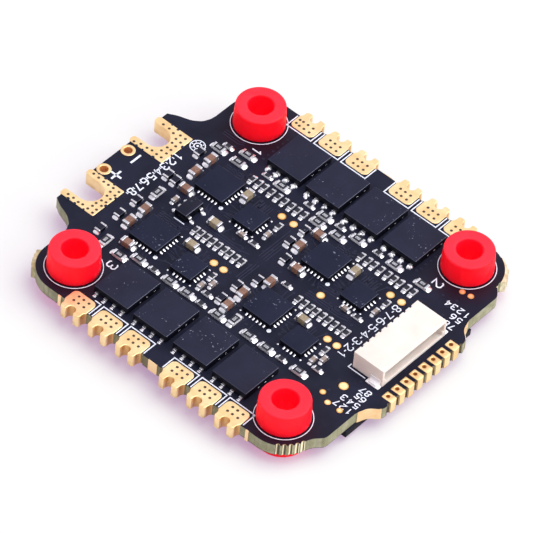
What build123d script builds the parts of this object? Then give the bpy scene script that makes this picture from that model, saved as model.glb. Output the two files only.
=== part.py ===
from build123d import *
import math
import os

# Four-channel motor speed controller board for a small multirotor stack,
# with a grid of power transistors on both sides, four silicone corner grommets,
# castellated solder pads and a side-entry signal connector.
# Origin: centre of the 30.5 mm hole pattern, on the plane of the grommets' feet.
# +X towards the signal connector, +Y towards motors 1 and 2, +Z up. Millimetres.

os.makedirs("parts", exist_ok=True)

# ---------------------------------------------------------------- dimensions
hole_pitch = 30.5            # square mounting pattern
hole_half = hole_pitch / 2
board_t = 1.6                # laminate thickness
foot_h = 1.7                 # grommet foot below the laminate
rise_h = 2.95                # grommet collar above the laminate
z_bot = foot_h               # laminate underside
z_top = foot_h + board_t     # laminate upper face
grommet_hole_r = 2.20        # hole in the laminate
grommet_neck_r = 2.15        # neck of the grommet in that hole
grommet_gap = 0.03           # play between each flange and the laminate
grommet_bore_r = 1.50        # passes an M3 screw
grommet_r_top = 2.88
grommet_r_base = 3.00
plate_t = 0.06               # copper and gold on pads and edges

edge_x_batt = -23.5          # laminate edge at the battery end
edge_x_conn = 22.14          # laminate edge at the signal pads
edge_y = 19.38               # laminate edge along the motor sides
tooth_y = 20.42              # outer end of the motor pad teeth, plated
corner_r = 4.15              # corner rounding about the mounting holes

motor_pad_x = [-11.17, -7.17, -3.17, 3.17, 7.17, 11.17]
motor_pad_w = 3.2
motor_tooth_span = 2.72
motor_notch_r = 0.53
motor_pad_y0 = 17.5
tooth_round = 0.32           # outer corners of the plated teeth
arm_round = 0.38             # ends of the battery pad arms

batt_pad_x = (-23.84, -18.78)
batt_neg_y = (2.96, 8.14)
batt_pos_y = (-8.34, -3.16)
batt_neg_slot = (5.55, 1.575, -21.93)     # centre y, radius, round end's centre x
batt_pos_slot = (-5.72, 1.60, -21.60)

cap_pad_xy = [(-22.75, 1.76), (-22.71, -2.24)]
cap_pad_r = 0.85
cap_hole_r = 0.50

signal_pitch = 1.495
signal_y = [5.32 - signal_pitch * k for k in range(8)]
signal_x0 = 20.82
signal_x1 = 22.20
signal_w = 1.04
signal_via_r = 0.25

fet_w, fet_l, fet_h = 4.85, 5.40, 0.95    # power transistor body
fet_lead_pitch = 1.27
fet_top_1 = [(-8.02, 13.80), (-2.39, 13.80)]
fet_top_2 = [(3.19, 13.79), (8.82, 13.78)]
fet_top_3 = [(-8.80, -13.66), (-3.11, -13.68)]
fet_top_4 = [(2.68, -13.70), (8.38, -13.72)]
# underside: the outer pair stands under the upper pair, the inner pair nearer the middle
fet_bot_1 = [(-8.02, 13.80), (-2.39, 13.80), (-8.02, 7.0), (-2.39, 7.0)]
fet_bot_2 = [(3.19, 13.79), (8.82, 13.78), (3.19, 7.0)]
fet_bot_3 = [(-8.80, -13.66), (-3.11, -13.68), (-8.80, -7.0), (-3.11, -7.0)]
fet_bot_4 = [(2.68, -13.70), (8.38, -13.72), (2.68, -7.0)]
fet_bot_end_2 = (17.92, 7.40)             # turned a quarter, beside the connector end
fet_bot_end_4 = (17.92, -8.60)

mcu_s, mcu_h, mcu_pins = 4.0, 0.75, 6     # microcontroller, 0.5 mm pin pitch
mcu_xy = [(-11.77, 4.76), (3.96, 4.61), (-11.95, -5.78), (3.98, -5.00)]
drv_s, drv_h, drv_pins = 3.0, 0.75, 4     # gate driver, 0.5 mm pin pitch
drv_xy = [(-6.02, 3.42), (9.83, 3.30), (-6.03, -6.77), (9.60, -6.30)]
pin_pitch = 0.5
pin_w = 0.24
pin_out = 0.12

reg_xy = (-11.77, -0.37)
reg_w, reg_l, reg_h = 1.6, 2.9, 1.05

conn_x0, conn_x1 = 15.80, 20.00
conn_y0, conn_y1 = -4.62, 5.88
conn_h = 2.43
conn_wall = 0.55
conn_floor = 0.42
conn_roof = 0.32
conn_pins = 8
conn_pitch = 1.0

c0603 = (1.55, 0.85, 0.80)
r0603 = (1.60, 0.80, 0.45)
c0402 = (1.00, 0.50, 0.50)
r0402 = (1.00, 0.50, 0.35)

brown_v = [(-15.13, 6.98), (-15.14, 4.39), (-15.26, -3.76), (-15.26, -6.26),
           (0.39, 4.25), (1.64, -2.01), (0.59, -5.37), (0.58, -7.82)]
brown_h = [(-14.10, 1.74), (-13.18, -8.82), (0.84, 7.00), (2.43, 1.49)]
beige_v = [(-8.62, 5.82), (7.17, 5.73)]
beige_h = [(-8.38, 0.17), (-8.04, -4.03), (7.83, -3.59)]
small_cap_v = [(-13.96, -0.21), (-3.30, 3.11), (12.52, 2.91), (-2.66, -6.61),
               (13.08, -6.26), (-3.46, -7.61), (12.28, -7.11)]
small_cap_h = [(-5.29, 1.16), (9.87, 0.97)]
marked_h = [(-12.79, 10.57), (-12.79, 8.97), (-15.77, 9.03), (-6.97, 9.66),
            (-0.60, 9.65), (-0.60, 8.40), (4.18, 9.64), (2.29, 8.44), (9.52, 9.63),
            (13.56, 9.62), (-12.73, -10.68), (-10.79, -9.58), (-6.30, -9.55),
            (-3.81, -9.56), (0.68, -9.58), (5.03, -9.39), (7.58, -9.40), (12.23, -9.42)]
marked_v = [(-16.05, -0.81), (-15.27, -10.12), (2.48, -8.78)]
small_res_h = [(-15.23, 10.03), (-9.16, 9.77), (-2.99, 9.75), (1.59, 9.74),
               (7.07, 9.73), (-8.64, -9.54), (-1.71, -9.57), (9.73, -9.36),
               (-3.50, 1.11), (11.62, 0.96), (-2.16, -8.06), (13.48, -7.72),
               (3.08, -0.91)]
small_res_v = [(-3.25, 4.91), (12.57, 4.72), (-3.50, -5.75), (12.27, -5.10)]
diode_xy = [(-16.82, 6.99), (-16.98, 2.04), (-15.84, 1.94), (-16.85, -3.31),
            (-16.85, -6.11), (-16.86, -9.21), (-0.80, 6.45), (-0.85, 4.05),
            (0.49, 1.80), (0.49, -2.71), (-0.61, -4.86), (-0.61, -7.47)]
row_1 = [(x, 8.16) for x in (-10.01, -9.07, -8.24, -7.20, -6.21, -5.25, -4.26, -3.35, -2.41)]
row_2 = [(x, 8.03) for x in (6.08, 7.07, 7.92, 8.92, 9.92, 10.83, 11.67, 12.66, 13.56)]
row_3 = [(x, -1.94) for x in (-9.38, -8.58, -7.76, -6.89, -6.04, -5.14, -4.36, -3.50, -2.60)]
row_4 = [(x, -1.63) for x in (5.34, 6.25, 7.12, 7.93, 8.83, 9.70, 10.57, 11.47, 12.27)]
test_pad_50 = [(-4.09, 6.42), (-2.40, 6.45), (11.97, 6.12), (13.52, 6.16),
               (-4.77, -4.05), (-3.36, -4.05), (11.32, -3.60), (12.67, -3.60),
               (6.62, 0.67)]
test_pad_55 = [(16.98, -7.43)]
test_pad_35 = [(15.93, -9.64), (17.28, -10.40), (18.94, -10.35), (17.23, 12.06),
               (18.31, 12.21)]

holes = [(-hole_half, hole_half), (hole_half, hole_half),
         (-hole_half, -hole_half), (hole_half, -hole_half)]

# ---------------------------------------------------------------- laminate
# Outline of the upper half, from the middle of the battery end to the middle of
# the connector end. The lower half is its mirror image.
left_curve = [(edge_x_batt, 9.05), (-22.90, 9.40), (-21.90, 9.84), (-20.92, 10.20),
              (-20.22, 10.70), (-19.92, 11.00), (-19.62, 11.60), (-19.46, 12.20)]
right_curve = [(19.17, 16.25), (19.57, 15.25), (20.17, 14.55), (20.42, 13.85)]
tab_curve = [(20.42, 9.50), (20.58, 8.92), (20.78, 8.32), (21.18, 7.72), (21.78, 7.22),
             (edge_x_conn, 6.50)]
left_edge_x = -hole_half - corner_r
mid_ang = math.radians(52.5)

with BuildSketch(Plane.XY) as outline_upper:
    with BuildLine():
        Line((edge_x_batt, 0), left_curve[0])
        Spline(*left_curve, tangents=((1, 0.45), (0.02, 1)))
        Line(left_curve[-1], (left_edge_x, 12.60))
        Line((left_edge_x, 12.60), (left_edge_x, hole_half))
        ThreePointArc((left_edge_x, hole_half),
                      (-hole_half - corner_r * math.cos(math.pi / 4),
                       hole_half + corner_r * math.sin(math.pi / 4)),
                      (-hole_half, hole_half + corner_r))
        Line((-hole_half, hole_half + corner_r), (-13.0, edge_y))
        Line((-13.0, edge_y), (hole_half, edge_y))
        ThreePointArc((hole_half, edge_y),
                      (hole_half + 4.08 * math.cos(mid_ang),
                       hole_half + 4.08 * math.sin(mid_ang)),
                      right_curve[0])
        Spline(*right_curve, tangents=((0.25, -1), (0.05, -1)))
        Line(right_curve[-1], tab_curve[0])
        Spline(*tab_curve, tangents=((0.05, -1), (0.25, -1)))
        Line(tab_curve[-1], (edge_x_conn, 0))
        Line((edge_x_conn, 0), (edge_x_batt, 0))
    make_face()

with BuildSketch(Plane.XY) as board_outline:
    add(outline_upper.sketch)
    mirror(about=Plane.XZ)

bx = batt_pad_x[0] + plate_t
notch_mid = signal_pitch / 2


# stubs left where the board was broken out of its panel: corner, first and last angle,
# and how much thinner the stub gets over its second half
stub_r = 4.60
stubs = [((-hole_half, -hole_half), 188, 231, 0.0), ((hole_half, hole_half), 11, 67, 0.45)]
# plated half-holes of a third break line, on the corner beside motor 4
bite_r = 0.26
bites = [(hole_half + 4.12 * math.cos(math.radians(a)),
          -hole_half + 4.12 * math.sin(math.radians(a))) for a in (-57, -47, -37, -27, -17)]

with BuildSketch(Plane.XY) as round_cut_pad:
    Rectangle(tooth_round, tooth_round, align=(Align.MIN, Align.MIN))
    Circle(tooth_round, mode=Mode.SUBTRACT)

with BuildSketch(Plane.XY) as round_cut_core:
    Rectangle(tooth_round - plate_t, tooth_round - plate_t, align=(Align.MIN, Align.MIN))
    Circle(tooth_round - plate_t, mode=Mode.SUBTRACT)

with BuildSketch(Plane.XY) as arm_cut_pad:
    Rectangle(arm_round, arm_round, align=(Align.MIN, Align.MIN))
    Circle(arm_round, mode=Mode.SUBTRACT)

with BuildSketch(Plane.XY) as arm_cut_core:
    Rectangle(arm_round - plate_t, arm_round - plate_t, align=(Align.MIN, Align.MIN))
    Circle(arm_round - plate_t, mode=Mode.SUBTRACT)


def tooth_corner_places(sgn):
    """Centres and turns of the rounded outer corners of every tooth of one side."""
    dx, dy = motor_tooth_span / 2 - tooth_round, tooth_y - tooth_round
    out = []
    for px in motor_pad_x:
        out.append((px + dx, sgn * dy, 0 if sgn > 0 else 270))
        out.append((px - dx, sgn * dy, 90 if sgn > 0 else 180))
    return out


def arm_corner_places(y_range, slot):
    """Centres and turns of the four rounded corners at the open end of a battery pad."""
    cy, r, cx = slot
    x = batt_pad_x[0] + arm_round
    return [(x, y_range[0] + arm_round, 180), (x, cy - r - arm_round, 90),
            (x, cy + r + arm_round, 180), (x, y_range[1] - arm_round, 90)]


def stub_points(corner, a0, a1, thinner):
    """Band outside the corner's rounding, with a row of small bites along it."""
    cx, cy = corner
    steps = 40
    pts = []
    for i in range(steps + 1):
        a = math.radians(a0 + (a1 - a0) * i / steps)
        edge = min(1.0, i / 4, (steps - i) / 4)
        edge *= 1 - thinner * min(1.0, max(0.0, (i / steps - 0.5) * 5))
        r = corner_r - 0.1 + (stub_r - corner_r + 0.1) * edge
        r -= 0.13 * max(0.0, math.sin(5.5 * 2 * math.pi * i / steps)) * edge
        pts.append((cx + r * math.cos(a), cy + r * math.sin(a)))
    for i in range(steps, -1, -8):
        a = math.radians(a0 + (a1 - a0) * i / steps)
        pts.append((cx + 3.6 * math.cos(a), cy + 3.6 * math.sin(a)))
    return pts


def tooth_zone(sign):
    """Laminate under the motor pad teeth of one side, one strip per group of three."""
    out = []
    for group in (motor_pad_x[:3], motor_pad_x[3:]):
        x0 = group[0] - motor_tooth_span / 2 + plate_t
        x1 = group[-1] + motor_tooth_span / 2 - plate_t
        y1 = tooth_y - plate_t
        out.append(((x0 + x1) / 2, sign * (19.0 + y1) / 2, x1 - x0, y1 - 19.0))
    return out


with BuildPart() as board_laminate:
    with BuildSketch(Plane.XY.offset(z_bot)):
        add(board_outline.sketch)
        for sgn in (1, -1):
            for (cx, cy, w, h) in tooth_zone(sgn):
                with Locations((cx, cy)):
                    Rectangle(w, h)
        # battery pad arms reach a little past the end
        for (ya, yb) in (batt_neg_y, batt_pos_y):
            with Locations(((bx + edge_x_batt + 1.0) / 2, (ya + yb) / 2)):
                Rectangle(edge_x_batt + 1.0 - bx, yb - ya - 2 * plate_t)
        # stubs of the break-out tabs
        for (corner, a0, a1, thinner) in stubs:
            with BuildLine():
                Polyline(*stub_points(corner, a0, a1, thinner), close=True)
            make_face()
        # battery wire slots
        for (cy, r, cx) in (batt_neg_slot, batt_pos_slot):
            with Locations((cx, cy)):
                Circle(r + plate_t, mode=Mode.SUBTRACT)
            with Locations((cx - 2.0, cy)):
                Rectangle(4.0, 2 * (r + plate_t), mode=Mode.SUBTRACT)
        # capacitor holes
        with Locations(*cap_pad_xy):
            Circle(cap_hole_r + plate_t, mode=Mode.SUBTRACT)
        # grommet holes
        with Locations(*holes):
            Circle(grommet_hole_r, mode=Mode.SUBTRACT)
        for sgn in (1, -1):
            # wire notch in the middle of each motor pad
            for px in motor_pad_x:
                with Locations((px, sgn * (20.05))):
                    Circle(motor_notch_r + plate_t, mode=Mode.SUBTRACT)
                with Locations((px, sgn * 20.55)):
                    Rectangle(2 * (motor_notch_r + plate_t), 1.0, mode=Mode.SUBTRACT)
            # bare scallops between neighbouring pads
            for (xa, xb) in ((-11.17, -7.17), (-7.17, -3.17), (3.17, 7.17), (7.17, 11.17)):
                gap = (xb - xa) - motor_tooth_span + 2 * plate_t
                with Locations(((xa + xb) / 2, sgn * 19.93)):
                    Circle(gap / 2, mode=Mode.SUBTRACT)
                with Locations(((xa + xb) / 2, sgn * 20.43)):
                    Rectangle(gap, 1.0, mode=Mode.SUBTRACT)
            # small scallops beside the middle of each side and at the outer pads
            for sx in (-1.52, 1.52):
                with Locations((sx, sgn * 19.52)):
                    Circle(0.30, mode=Mode.SUBTRACT)
            for (x, y, turn) in tooth_corner_places(sgn):
                with Locations((x, y)):
                    add(round_cut_core.sketch, rotation=turn, mode=Mode.SUBTRACT)
        for (y_range, slot) in ((batt_neg_y, batt_neg_slot), (batt_pos_y, batt_pos_slot)):
            for (x, y, turn) in arm_corner_places(y_range, slot):
                with Locations((x, y)):
                    add(arm_cut_core.sketch, rotation=turn, mode=Mode.SUBTRACT)
        with Locations(*bites):
            Circle(bite_r, mode=Mode.SUBTRACT)
        # bare notches between the signal pads
        for k in range(9):
            with Locations((edge_x_conn + 0.06, signal_y[0] + notch_mid - signal_pitch * k)):
                Circle(0.28, mode=Mode.SUBTRACT)
        # signal pad holes
        for sy in signal_y:
            with Locations((21.32, sy)):
                Circle(signal_via_r + 0.04, mode=Mode.SUBTRACT)
    extrude(amount=board_t)
board_laminate.part.label = "board_laminate"


# ---------------------------------------------------------------- plated pads
def batt_pad_sketch(y_range, slot):
    cy, r, cx = slot
    x0, x1 = batt_pad_x
    with BuildSketch(Plane.XY.offset(z_bot - plate_t)) as sk:
        with Locations(((x0 + x1) / 2, (y_range[0] + y_range[1]) / 2)):
            Rectangle(x1 - x0, y_range[1] - y_range[0])
        with Locations((cx, cy)):
            Circle(r, mode=Mode.SUBTRACT)
        with Locations((cx - 2.0, cy)):
            Rectangle(4.0, 2 * r, mode=Mode.SUBTRACT)
        for (x, y, turn) in arm_corner_places(y_range, slot):
            with Locations((x, y)):
                add(arm_cut_pad.sketch, rotation=turn, mode=Mode.SUBTRACT)
    return sk.sketch


with BuildPart() as battery_pad_negative:
    add(batt_pad_sketch(batt_neg_y, batt_neg_slot))
    extrude(amount=board_t + 2 * plate_t)
    add(board_laminate.part, mode=Mode.SUBTRACT)
battery_pad_negative.part.label = "battery_pad_negative"

with BuildPart() as battery_pad_positive:
    add(batt_pad_sketch(batt_pos_y, batt_pos_slot))
    extrude(amount=board_t + 2 * plate_t)
    add(board_laminate.part, mode=Mode.SUBTRACT)
battery_pad_positive.part.label = "battery_pad_positive"

with BuildPart() as capacitor_pads:
    with BuildSketch(Plane.XY.offset(z_bot - plate_t)):
        with Locations(*cap_pad_xy):
            Circle(cap_pad_r)
            Circle(cap_hole_r, mode=Mode.SUBTRACT)
    extrude(amount=board_t + 2 * plate_t)
    add(board_laminate.part, mode=Mode.SUBTRACT)
capacitor_pads.part.label = "capacitor_pads"


def motor_pad_sketch(xs, sgn):
    with BuildSketch(Plane.XY.offset(z_bot - plate_t)) as sk:
        for px in xs:
            with Locations((px, sgn * (motor_pad_y0 + 0.9))):
                RectangleRounded(motor_pad_w, 1.8, 0.63)
            with Locations((px, sgn * (19.1 + tooth_y) / 2)):
                Rectangle(motor_tooth_span, tooth_y - 19.1)
            with Locations((px, sgn * 20.05)):
                Circle(motor_notch_r, mode=Mode.SUBTRACT)
            with Locations((px, sgn * 20.55)):
                Rectangle(2 * motor_notch_r, 1.0, mode=Mode.SUBTRACT)
        for (x, y, turn) in tooth_corner_places(sgn):
            if min(abs(x - px) for px in xs) < 2.0:
                with Locations((x, y)):
                    add(round_cut_pad.sketch, rotation=turn, mode=Mode.SUBTRACT)
    return sk.sketch


with BuildPart() as motor_pads_1:
    add(motor_pad_sketch(motor_pad_x[:3], 1))
    extrude(amount=board_t + 2 * plate_t)
    add(board_laminate.part, mode=Mode.SUBTRACT)
motor_pads_1.part.label = "motor_pads_1"

with BuildPart() as motor_pads_2:
    add(motor_pad_sketch(motor_pad_x[3:], 1))
    extrude(amount=board_t + 2 * plate_t)
    add(board_laminate.part, mode=Mode.SUBTRACT)
motor_pads_2.part.label = "motor_pads_2"

with BuildPart() as motor_pads_3:
    add(motor_pad_sketch(motor_pad_x[:3], -1))
    extrude(amount=board_t + 2 * plate_t)
    add(board_laminate.part, mode=Mode.SUBTRACT)
motor_pads_3.part.label = "motor_pads_3"

with BuildPart() as motor_pads_4:
    add(motor_pad_sketch(motor_pad_x[3:], -1))
    extrude(amount=board_t + 2 * plate_t)
    add(board_laminate.part, mode=Mode.SUBTRACT)
motor_pads_4.part.label = "motor_pads_4"

with BuildPart() as signal_pads:
    with BuildSketch(Plane.XY.offset(z_bot - plate_t)):
        for sy in signal_y:
            with Locations(((signal_x0 + signal_x1) / 2, sy)):
                Rectangle(signal_x1 - signal_x0, signal_w)
            with Locations((21.32, sy)):
                Circle(signal_via_r, mode=Mode.SUBTRACT)
    extrude(amount=board_t + 2 * plate_t)
    add(board_laminate.part, mode=Mode.SUBTRACT)
signal_pads.part.label = "signal_pads"

with BuildPart() as test_pads:
    with BuildSketch(Plane.XY.offset(z_top)):
        with Locations(*test_pad_50):
            Circle(0.48)
        with Locations(*test_pad_55):
            Circle(0.55)
        with Locations(*test_pad_35):
            Circle(0.36)
    extrude(amount=plate_t)
test_pads.part.label = "test_pads"

# Gold on the walls of the two inside curves at the connector end and of the middle
# of each motor side. A curve's plating is the outline moved out a little, less itself.
with BuildPart() as edge_plating:
    with BuildSketch(Plane.XY.offset(z_bot)):
        with Locations((0.050, 0.035)):
            add(board_outline.sketch)
        add(board_outline.sketch, mode=Mode.SUBTRACT)
        with Locations((21.28, 8.22)):
            Rectangle(1.50, 2.40, mode=Mode.INTERSECT)
    extrude(amount=board_t)
    with BuildSketch(Plane.XY.offset(z_bot)):
        with Locations((0.050, -0.035)):
            add(board_outline.sketch)
        add(board_outline.sketch, mode=Mode.SUBTRACT)
        with Locations((21.28, -8.32)):
            Rectangle(1.50, 2.70, mode=Mode.INTERSECT)
    extrude(amount=board_t)
    with BuildSketch(Plane.XY.offset(z_bot)):
        with Locations((0.18, edge_y + plate_t / 2), (0.18, -edge_y - plate_t / 2)):
            Rectangle(1.27, plate_t)
    extrude(amount=board_t)
    # lining of the half-holes, and one short stripe beyond each outermost pad
    with BuildSketch(Plane.XY.offset(z_bot)):
        with Locations(*bites):
            Circle(bite_r)
            Circle(bite_r - 0.07, mode=Mode.SUBTRACT)
        add(board_outline.sketch, mode=Mode.INTERSECT)
    extrude(amount=board_t)
    with BuildSketch(Plane.XY.offset(z_bot)):
        with Locations((-13.40, -19.44), (13.80, -19.44)):
            Rectangle(0.42, 0.16)
        add(board_outline.sketch, mode=Mode.SUBTRACT)
    extrude(amount=board_t)
edge_plating.part.label = "edge_plating"


# ---------------------------------------------------------------- grommets
def grommet_profile(x, y):
    """Section of one grommet, a turned shape about its own upright axis."""
    with BuildSketch(Plane.XZ.offset(-y)) as sk:
        with BuildLine():
            Polyline(
                (x + grommet_bore_r, 0.15),
                (x + grommet_bore_r + 0.15, 0.0),
                (x + 2.70, 0.0),
                (x + 2.88, 0.12),
                (x + 2.96, 0.45),
                (x + 3.00, z_bot - 0.10),
                (x + 2.92, z_bot - grommet_gap),
                (x + grommet_neck_r, z_bot - grommet_gap),
                (x + grommet_neck_r, z_top + grommet_gap),
                (x + 2.94, z_top + grommet_gap),
                (x + grommet_r_base, z_top + 0.16),
                (x + grommet_r_base, z_top + 0.55),
                (x + 2.94, z_top + rise_h - 0.95),
                (x + grommet_r_top, z_top + rise_h - 0.24),
                (x + grommet_r_top - 0.06, z_top + rise_h - 0.07),
                (x + grommet_r_top - 0.20, z_top + rise_h),
                (x + grommet_bore_r + 0.15, z_top + rise_h),
                (x + grommet_bore_r, z_top + rise_h - 0.12),
                close=True)
        make_face()
    return sk.sketch


with BuildPart() as grommet_1:
    add(grommet_profile(*holes[0]))
    revolve(axis=Axis((holes[0][0], holes[0][1], 0), (0, 0, 1)))
grommet_1.part.label = "grommet_1"

with BuildPart() as grommet_2:
    add(grommet_profile(*holes[1]))
    revolve(axis=Axis((holes[1][0], holes[1][1], 0), (0, 0, 1)))
grommet_2.part.label = "grommet_2"

with BuildPart() as grommet_3:
    add(grommet_profile(*holes[2]))
    revolve(axis=Axis((holes[2][0], holes[2][1], 0), (0, 0, 1)))
grommet_3.part.label = "grommet_3"

with BuildPart() as grommet_4:
    add(grommet_profile(*holes[3]))
    revolve(axis=Axis((holes[3][0], holes[3][1], 0), (0, 0, 1)))
grommet_4.part.label = "grommet_4"


# ---------------------------------------------------------------- power transistors
def fets_upper(points):
    """Bodies with four leads towards -Y and a tab towards +Y, on the upper face."""
    with BuildPart() as p:
        with BuildSketch(Plane.XY.offset(z_top + 0.05)):
            with Locations(*points):
                Rectangle(fet_w, fet_l)
        extrude(amount=fet_h - 0.05)
        chamfer(p.faces().sort_by(Axis.Z)[-1 * len(points):].edges(), length=0.07)
        with BuildSketch(Plane.XY.offset(z_top)):
            for (x, y) in points:
                for k in range(4):
                    with Locations((x + (k - 1.5) * fet_lead_pitch, y - fet_l / 2 - 0.10)):
                        Rectangle(0.42, 0.90)
                with Locations((x, y + fet_l / 2 - 0.40)):
                    Rectangle(4.10, 1.20)
        extrude(amount=0.26)
    return p.part


def fets_lower(points, quarter=None):
    """The same part hung under the laminate, leads towards the board's middle."""
    with BuildPart() as p:
        with BuildSketch(Plane.XY.offset(z_bot - fet_h)):
            with Locations(*points):
                Rectangle(fet_w, fet_l)
            if quarter:
                with Locations(quarter):
                    Rectangle(fet_l, fet_w)
        extrude(amount=fet_h - 0.05)
        count = len(points) + (1 if quarter else 0)
        chamfer(p.faces().sort_by(Axis.Z)[:count].edges(), length=0.07)
        with BuildSketch(Plane.XY.offset(z_bot - 0.26)):
            for (x, y) in points:
                side = -1 if y > 0 else 1
                for k in range(4):
                    with Locations((x + (k - 1.5) * fet_lead_pitch,
                                    y + side * (fet_l / 2 + 0.10))):
                        Rectangle(0.42, 0.90)
                with Locations((x, y - side * (fet_l / 2 - 0.40))):
                    Rectangle(4.10, 1.20)
            if quarter:
                for k in range(4):
                    with Locations((quarter[0] - fet_l / 2 - 0.10,
                                    quarter[1] + (k - 1.5) * fet_lead_pitch)):
                        Rectangle(0.90, 0.42)
                with Locations((quarter[0] + fet_l / 2 - 0.60, quarter[1])):
                    Rectangle(1.20, 4.10)
        extrude(amount=0.26)
    return p.part


with BuildPart() as mosfets_top_motor_1:
    add(fets_upper(fet_top_1))
mosfets_top_motor_1.part.label = "mosfets_top_motor_1"

with BuildPart() as mosfets_top_motor_2:
    add(fets_upper(fet_top_2))
mosfets_top_motor_2.part.label = "mosfets_top_motor_2"

with BuildPart() as mosfets_top_motor_3:
    add(fets_upper(fet_top_3))
mosfets_top_motor_3.part.label = "mosfets_top_motor_3"

with BuildPart() as mosfets_top_motor_4:
    add(fets_upper(fet_top_4))
mosfets_top_motor_4.part.label = "mosfets_top_motor_4"

with BuildPart() as mosfets_bottom_motor_1:
    add(fets_lower(fet_bot_1))
mosfets_bottom_motor_1.part.label = "mosfets_bottom_motor_1"

with BuildPart() as mosfets_bottom_motor_2:
    add(fets_lower(fet_bot_2, fet_bot_end_2))
mosfets_bottom_motor_2.part.label = "mosfets_bottom_motor_2"

with BuildPart() as mosfets_bottom_motor_3:
    add(fets_lower(fet_bot_3))
mosfets_bottom_motor_3.part.label = "mosfets_bottom_motor_3"

with BuildPart() as mosfets_bottom_motor_4:
    add(fets_lower(fet_bot_4, fet_bot_end_4))
mosfets_bottom_motor_4.part.label = "mosfets_bottom_motor_4"


# ---------------------------------------------------------------- square chips
def square_chip(x, y, side, height, pins):
    """Leadless package: moulded body with a row of flush terminals on each side."""
    with BuildPart() as p:
        with BuildSketch(Plane.XY.offset(z_top + 0.04)):
            with Locations((x, y)):
                Rectangle(side, side)
        extrude(amount=height - 0.04)
        chamfer(p.faces().sort_by(Axis.Z)[-1].edges(), length=0.05)
        with BuildSketch(Plane.XY.offset(z_top)):
            span = side / 2 - 0.15
            for k in range(pins):
                t = (k - (pins - 1) / 2) * pin_pitch
                with Locations((x + t, y + span), (x + t, y - span)):
                    Rectangle(pin_w, 0.30 + 2 * pin_out)
                with Locations((x + span, y + t), (x - span, y + t)):
                    Rectangle(0.30 + 2 * pin_out, pin_w)
        extrude(amount=0.20)
    return p.part


with BuildPart() as microcontroller_1:
    add(square_chip(*mcu_xy[0], mcu_s, mcu_h, mcu_pins))
microcontroller_1.part.label = "microcontroller_1"

with BuildPart() as microcontroller_2:
    add(square_chip(*mcu_xy[1], mcu_s, mcu_h, mcu_pins))
microcontroller_2.part.label = "microcontroller_2"

with BuildPart() as microcontroller_3:
    add(square_chip(*mcu_xy[2], mcu_s, mcu_h, mcu_pins))
microcontroller_3.part.label = "microcontroller_3"

with BuildPart() as microcontroller_4:
    add(square_chip(*mcu_xy[3], mcu_s, mcu_h, mcu_pins))
microcontroller_4.part.label = "microcontroller_4"

with BuildPart() as gate_driver_1:
    add(square_chip(*drv_xy[0], drv_s, drv_h, drv_pins))
gate_driver_1.part.label = "gate_driver_1"

with BuildPart() as gate_driver_2:
    add(square_chip(*drv_xy[1], drv_s, drv_h, drv_pins))
gate_driver_2.part.label = "gate_driver_2"

with BuildPart() as gate_driver_3:
    add(square_chip(*drv_xy[2], drv_s, drv_h, drv_pins))
gate_driver_3.part.label = "gate_driver_3"

with BuildPart() as gate_driver_4:
    add(square_chip(*drv_xy[3], drv_s, drv_h, drv_pins))
gate_driver_4.part.label = "gate_driver_4"

# Five-lead regulator
with BuildPart() as voltage_regulator:
    with BuildSketch(Plane.XY.offset(z_top + 0.08)):
        with Locations(reg_xy):
            Rectangle(reg_w, reg_l)
    extrude(amount=reg_h - 0.08)
    chamfer(voltage_regulator.faces().sort_by(Axis.Z)[-1].edges(), length=0.12)
    with BuildSketch(Plane.XY.offset(z_top)):
        for (dx, dy) in ((-1.05, 0.95), (-1.05, 0.0), (-1.05, -0.95), (1.05, 0.95), (1.05, -0.95)):
            with Locations((reg_xy[0] + dx, reg_xy[1] + dy)):
                Rectangle(0.70, 0.40)
    extrude(amount=0.16)
voltage_regulator.part.label = "voltage_regulator"


# ---------------------------------------------------------------- chip components
def chips(size, along_x, along_y, soften=0.05):
    """Small two-terminal blocks, each its own solid, on the upper face."""
    l, w, h = size
    with BuildPart() as p:
        with BuildSketch(Plane.XY.offset(z_top)):
            if along_x:
                with Locations(*along_x):
                    Rectangle(l, w)
            if along_y:
                with Locations(*along_y):
                    Rectangle(w, l)
        extrude(amount=h)
        n = len(along_x) + len(along_y)
        chamfer(p.faces().sort_by(Axis.Z)[-n:].edges(), length=soften)
    return p.part


with BuildPart() as brown_ceramic_capacitors:
    add(chips(c0603, brown_h, brown_v))
brown_ceramic_capacitors.part.label = "brown_ceramic_capacitors"

with BuildPart() as beige_ceramic_capacitors:
    add(chips(c0603, beige_h, beige_v))
beige_ceramic_capacitors.part.label = "beige_ceramic_capacitors"

with BuildPart() as small_ceramic_capacitors:
    add(chips(c0402, small_cap_h, small_cap_v, 0.04))
small_ceramic_capacitors.part.label = "small_ceramic_capacitors"

with BuildPart() as marked_resistors:
    add(chips(r0603, marked_h, marked_v, 0.04))
marked_resistors.part.label = "marked_resistors"

with BuildPart() as small_resistors:
    add(chips(r0402, small_res_h, small_res_v, 0.03))
small_resistors.part.label = "small_resistors"

with BuildPart() as schottky_diodes:
    add(chips((1.25, 0.78, 0.55), [], diode_xy, 0.06))
schottky_diodes.part.label = "schottky_diodes"

with BuildPart() as resistor_row_motor_1:
    add(chips(r0402, [], row_1, 0.03))
resistor_row_motor_1.part.label = "resistor_row_motor_1"

with BuildPart() as resistor_row_motor_2:
    add(chips(r0402, [], row_2, 0.03))
resistor_row_motor_2.part.label = "resistor_row_motor_2"

with BuildPart() as resistor_row_motor_3:
    add(chips(r0402, [], row_3, 0.03))
resistor_row_motor_3.part.label = "resistor_row_motor_3"

with BuildPart() as resistor_row_motor_4:
    add(chips(r0402, [], row_4, 0.03))
resistor_row_motor_4.part.label = "resistor_row_motor_4"

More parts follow.
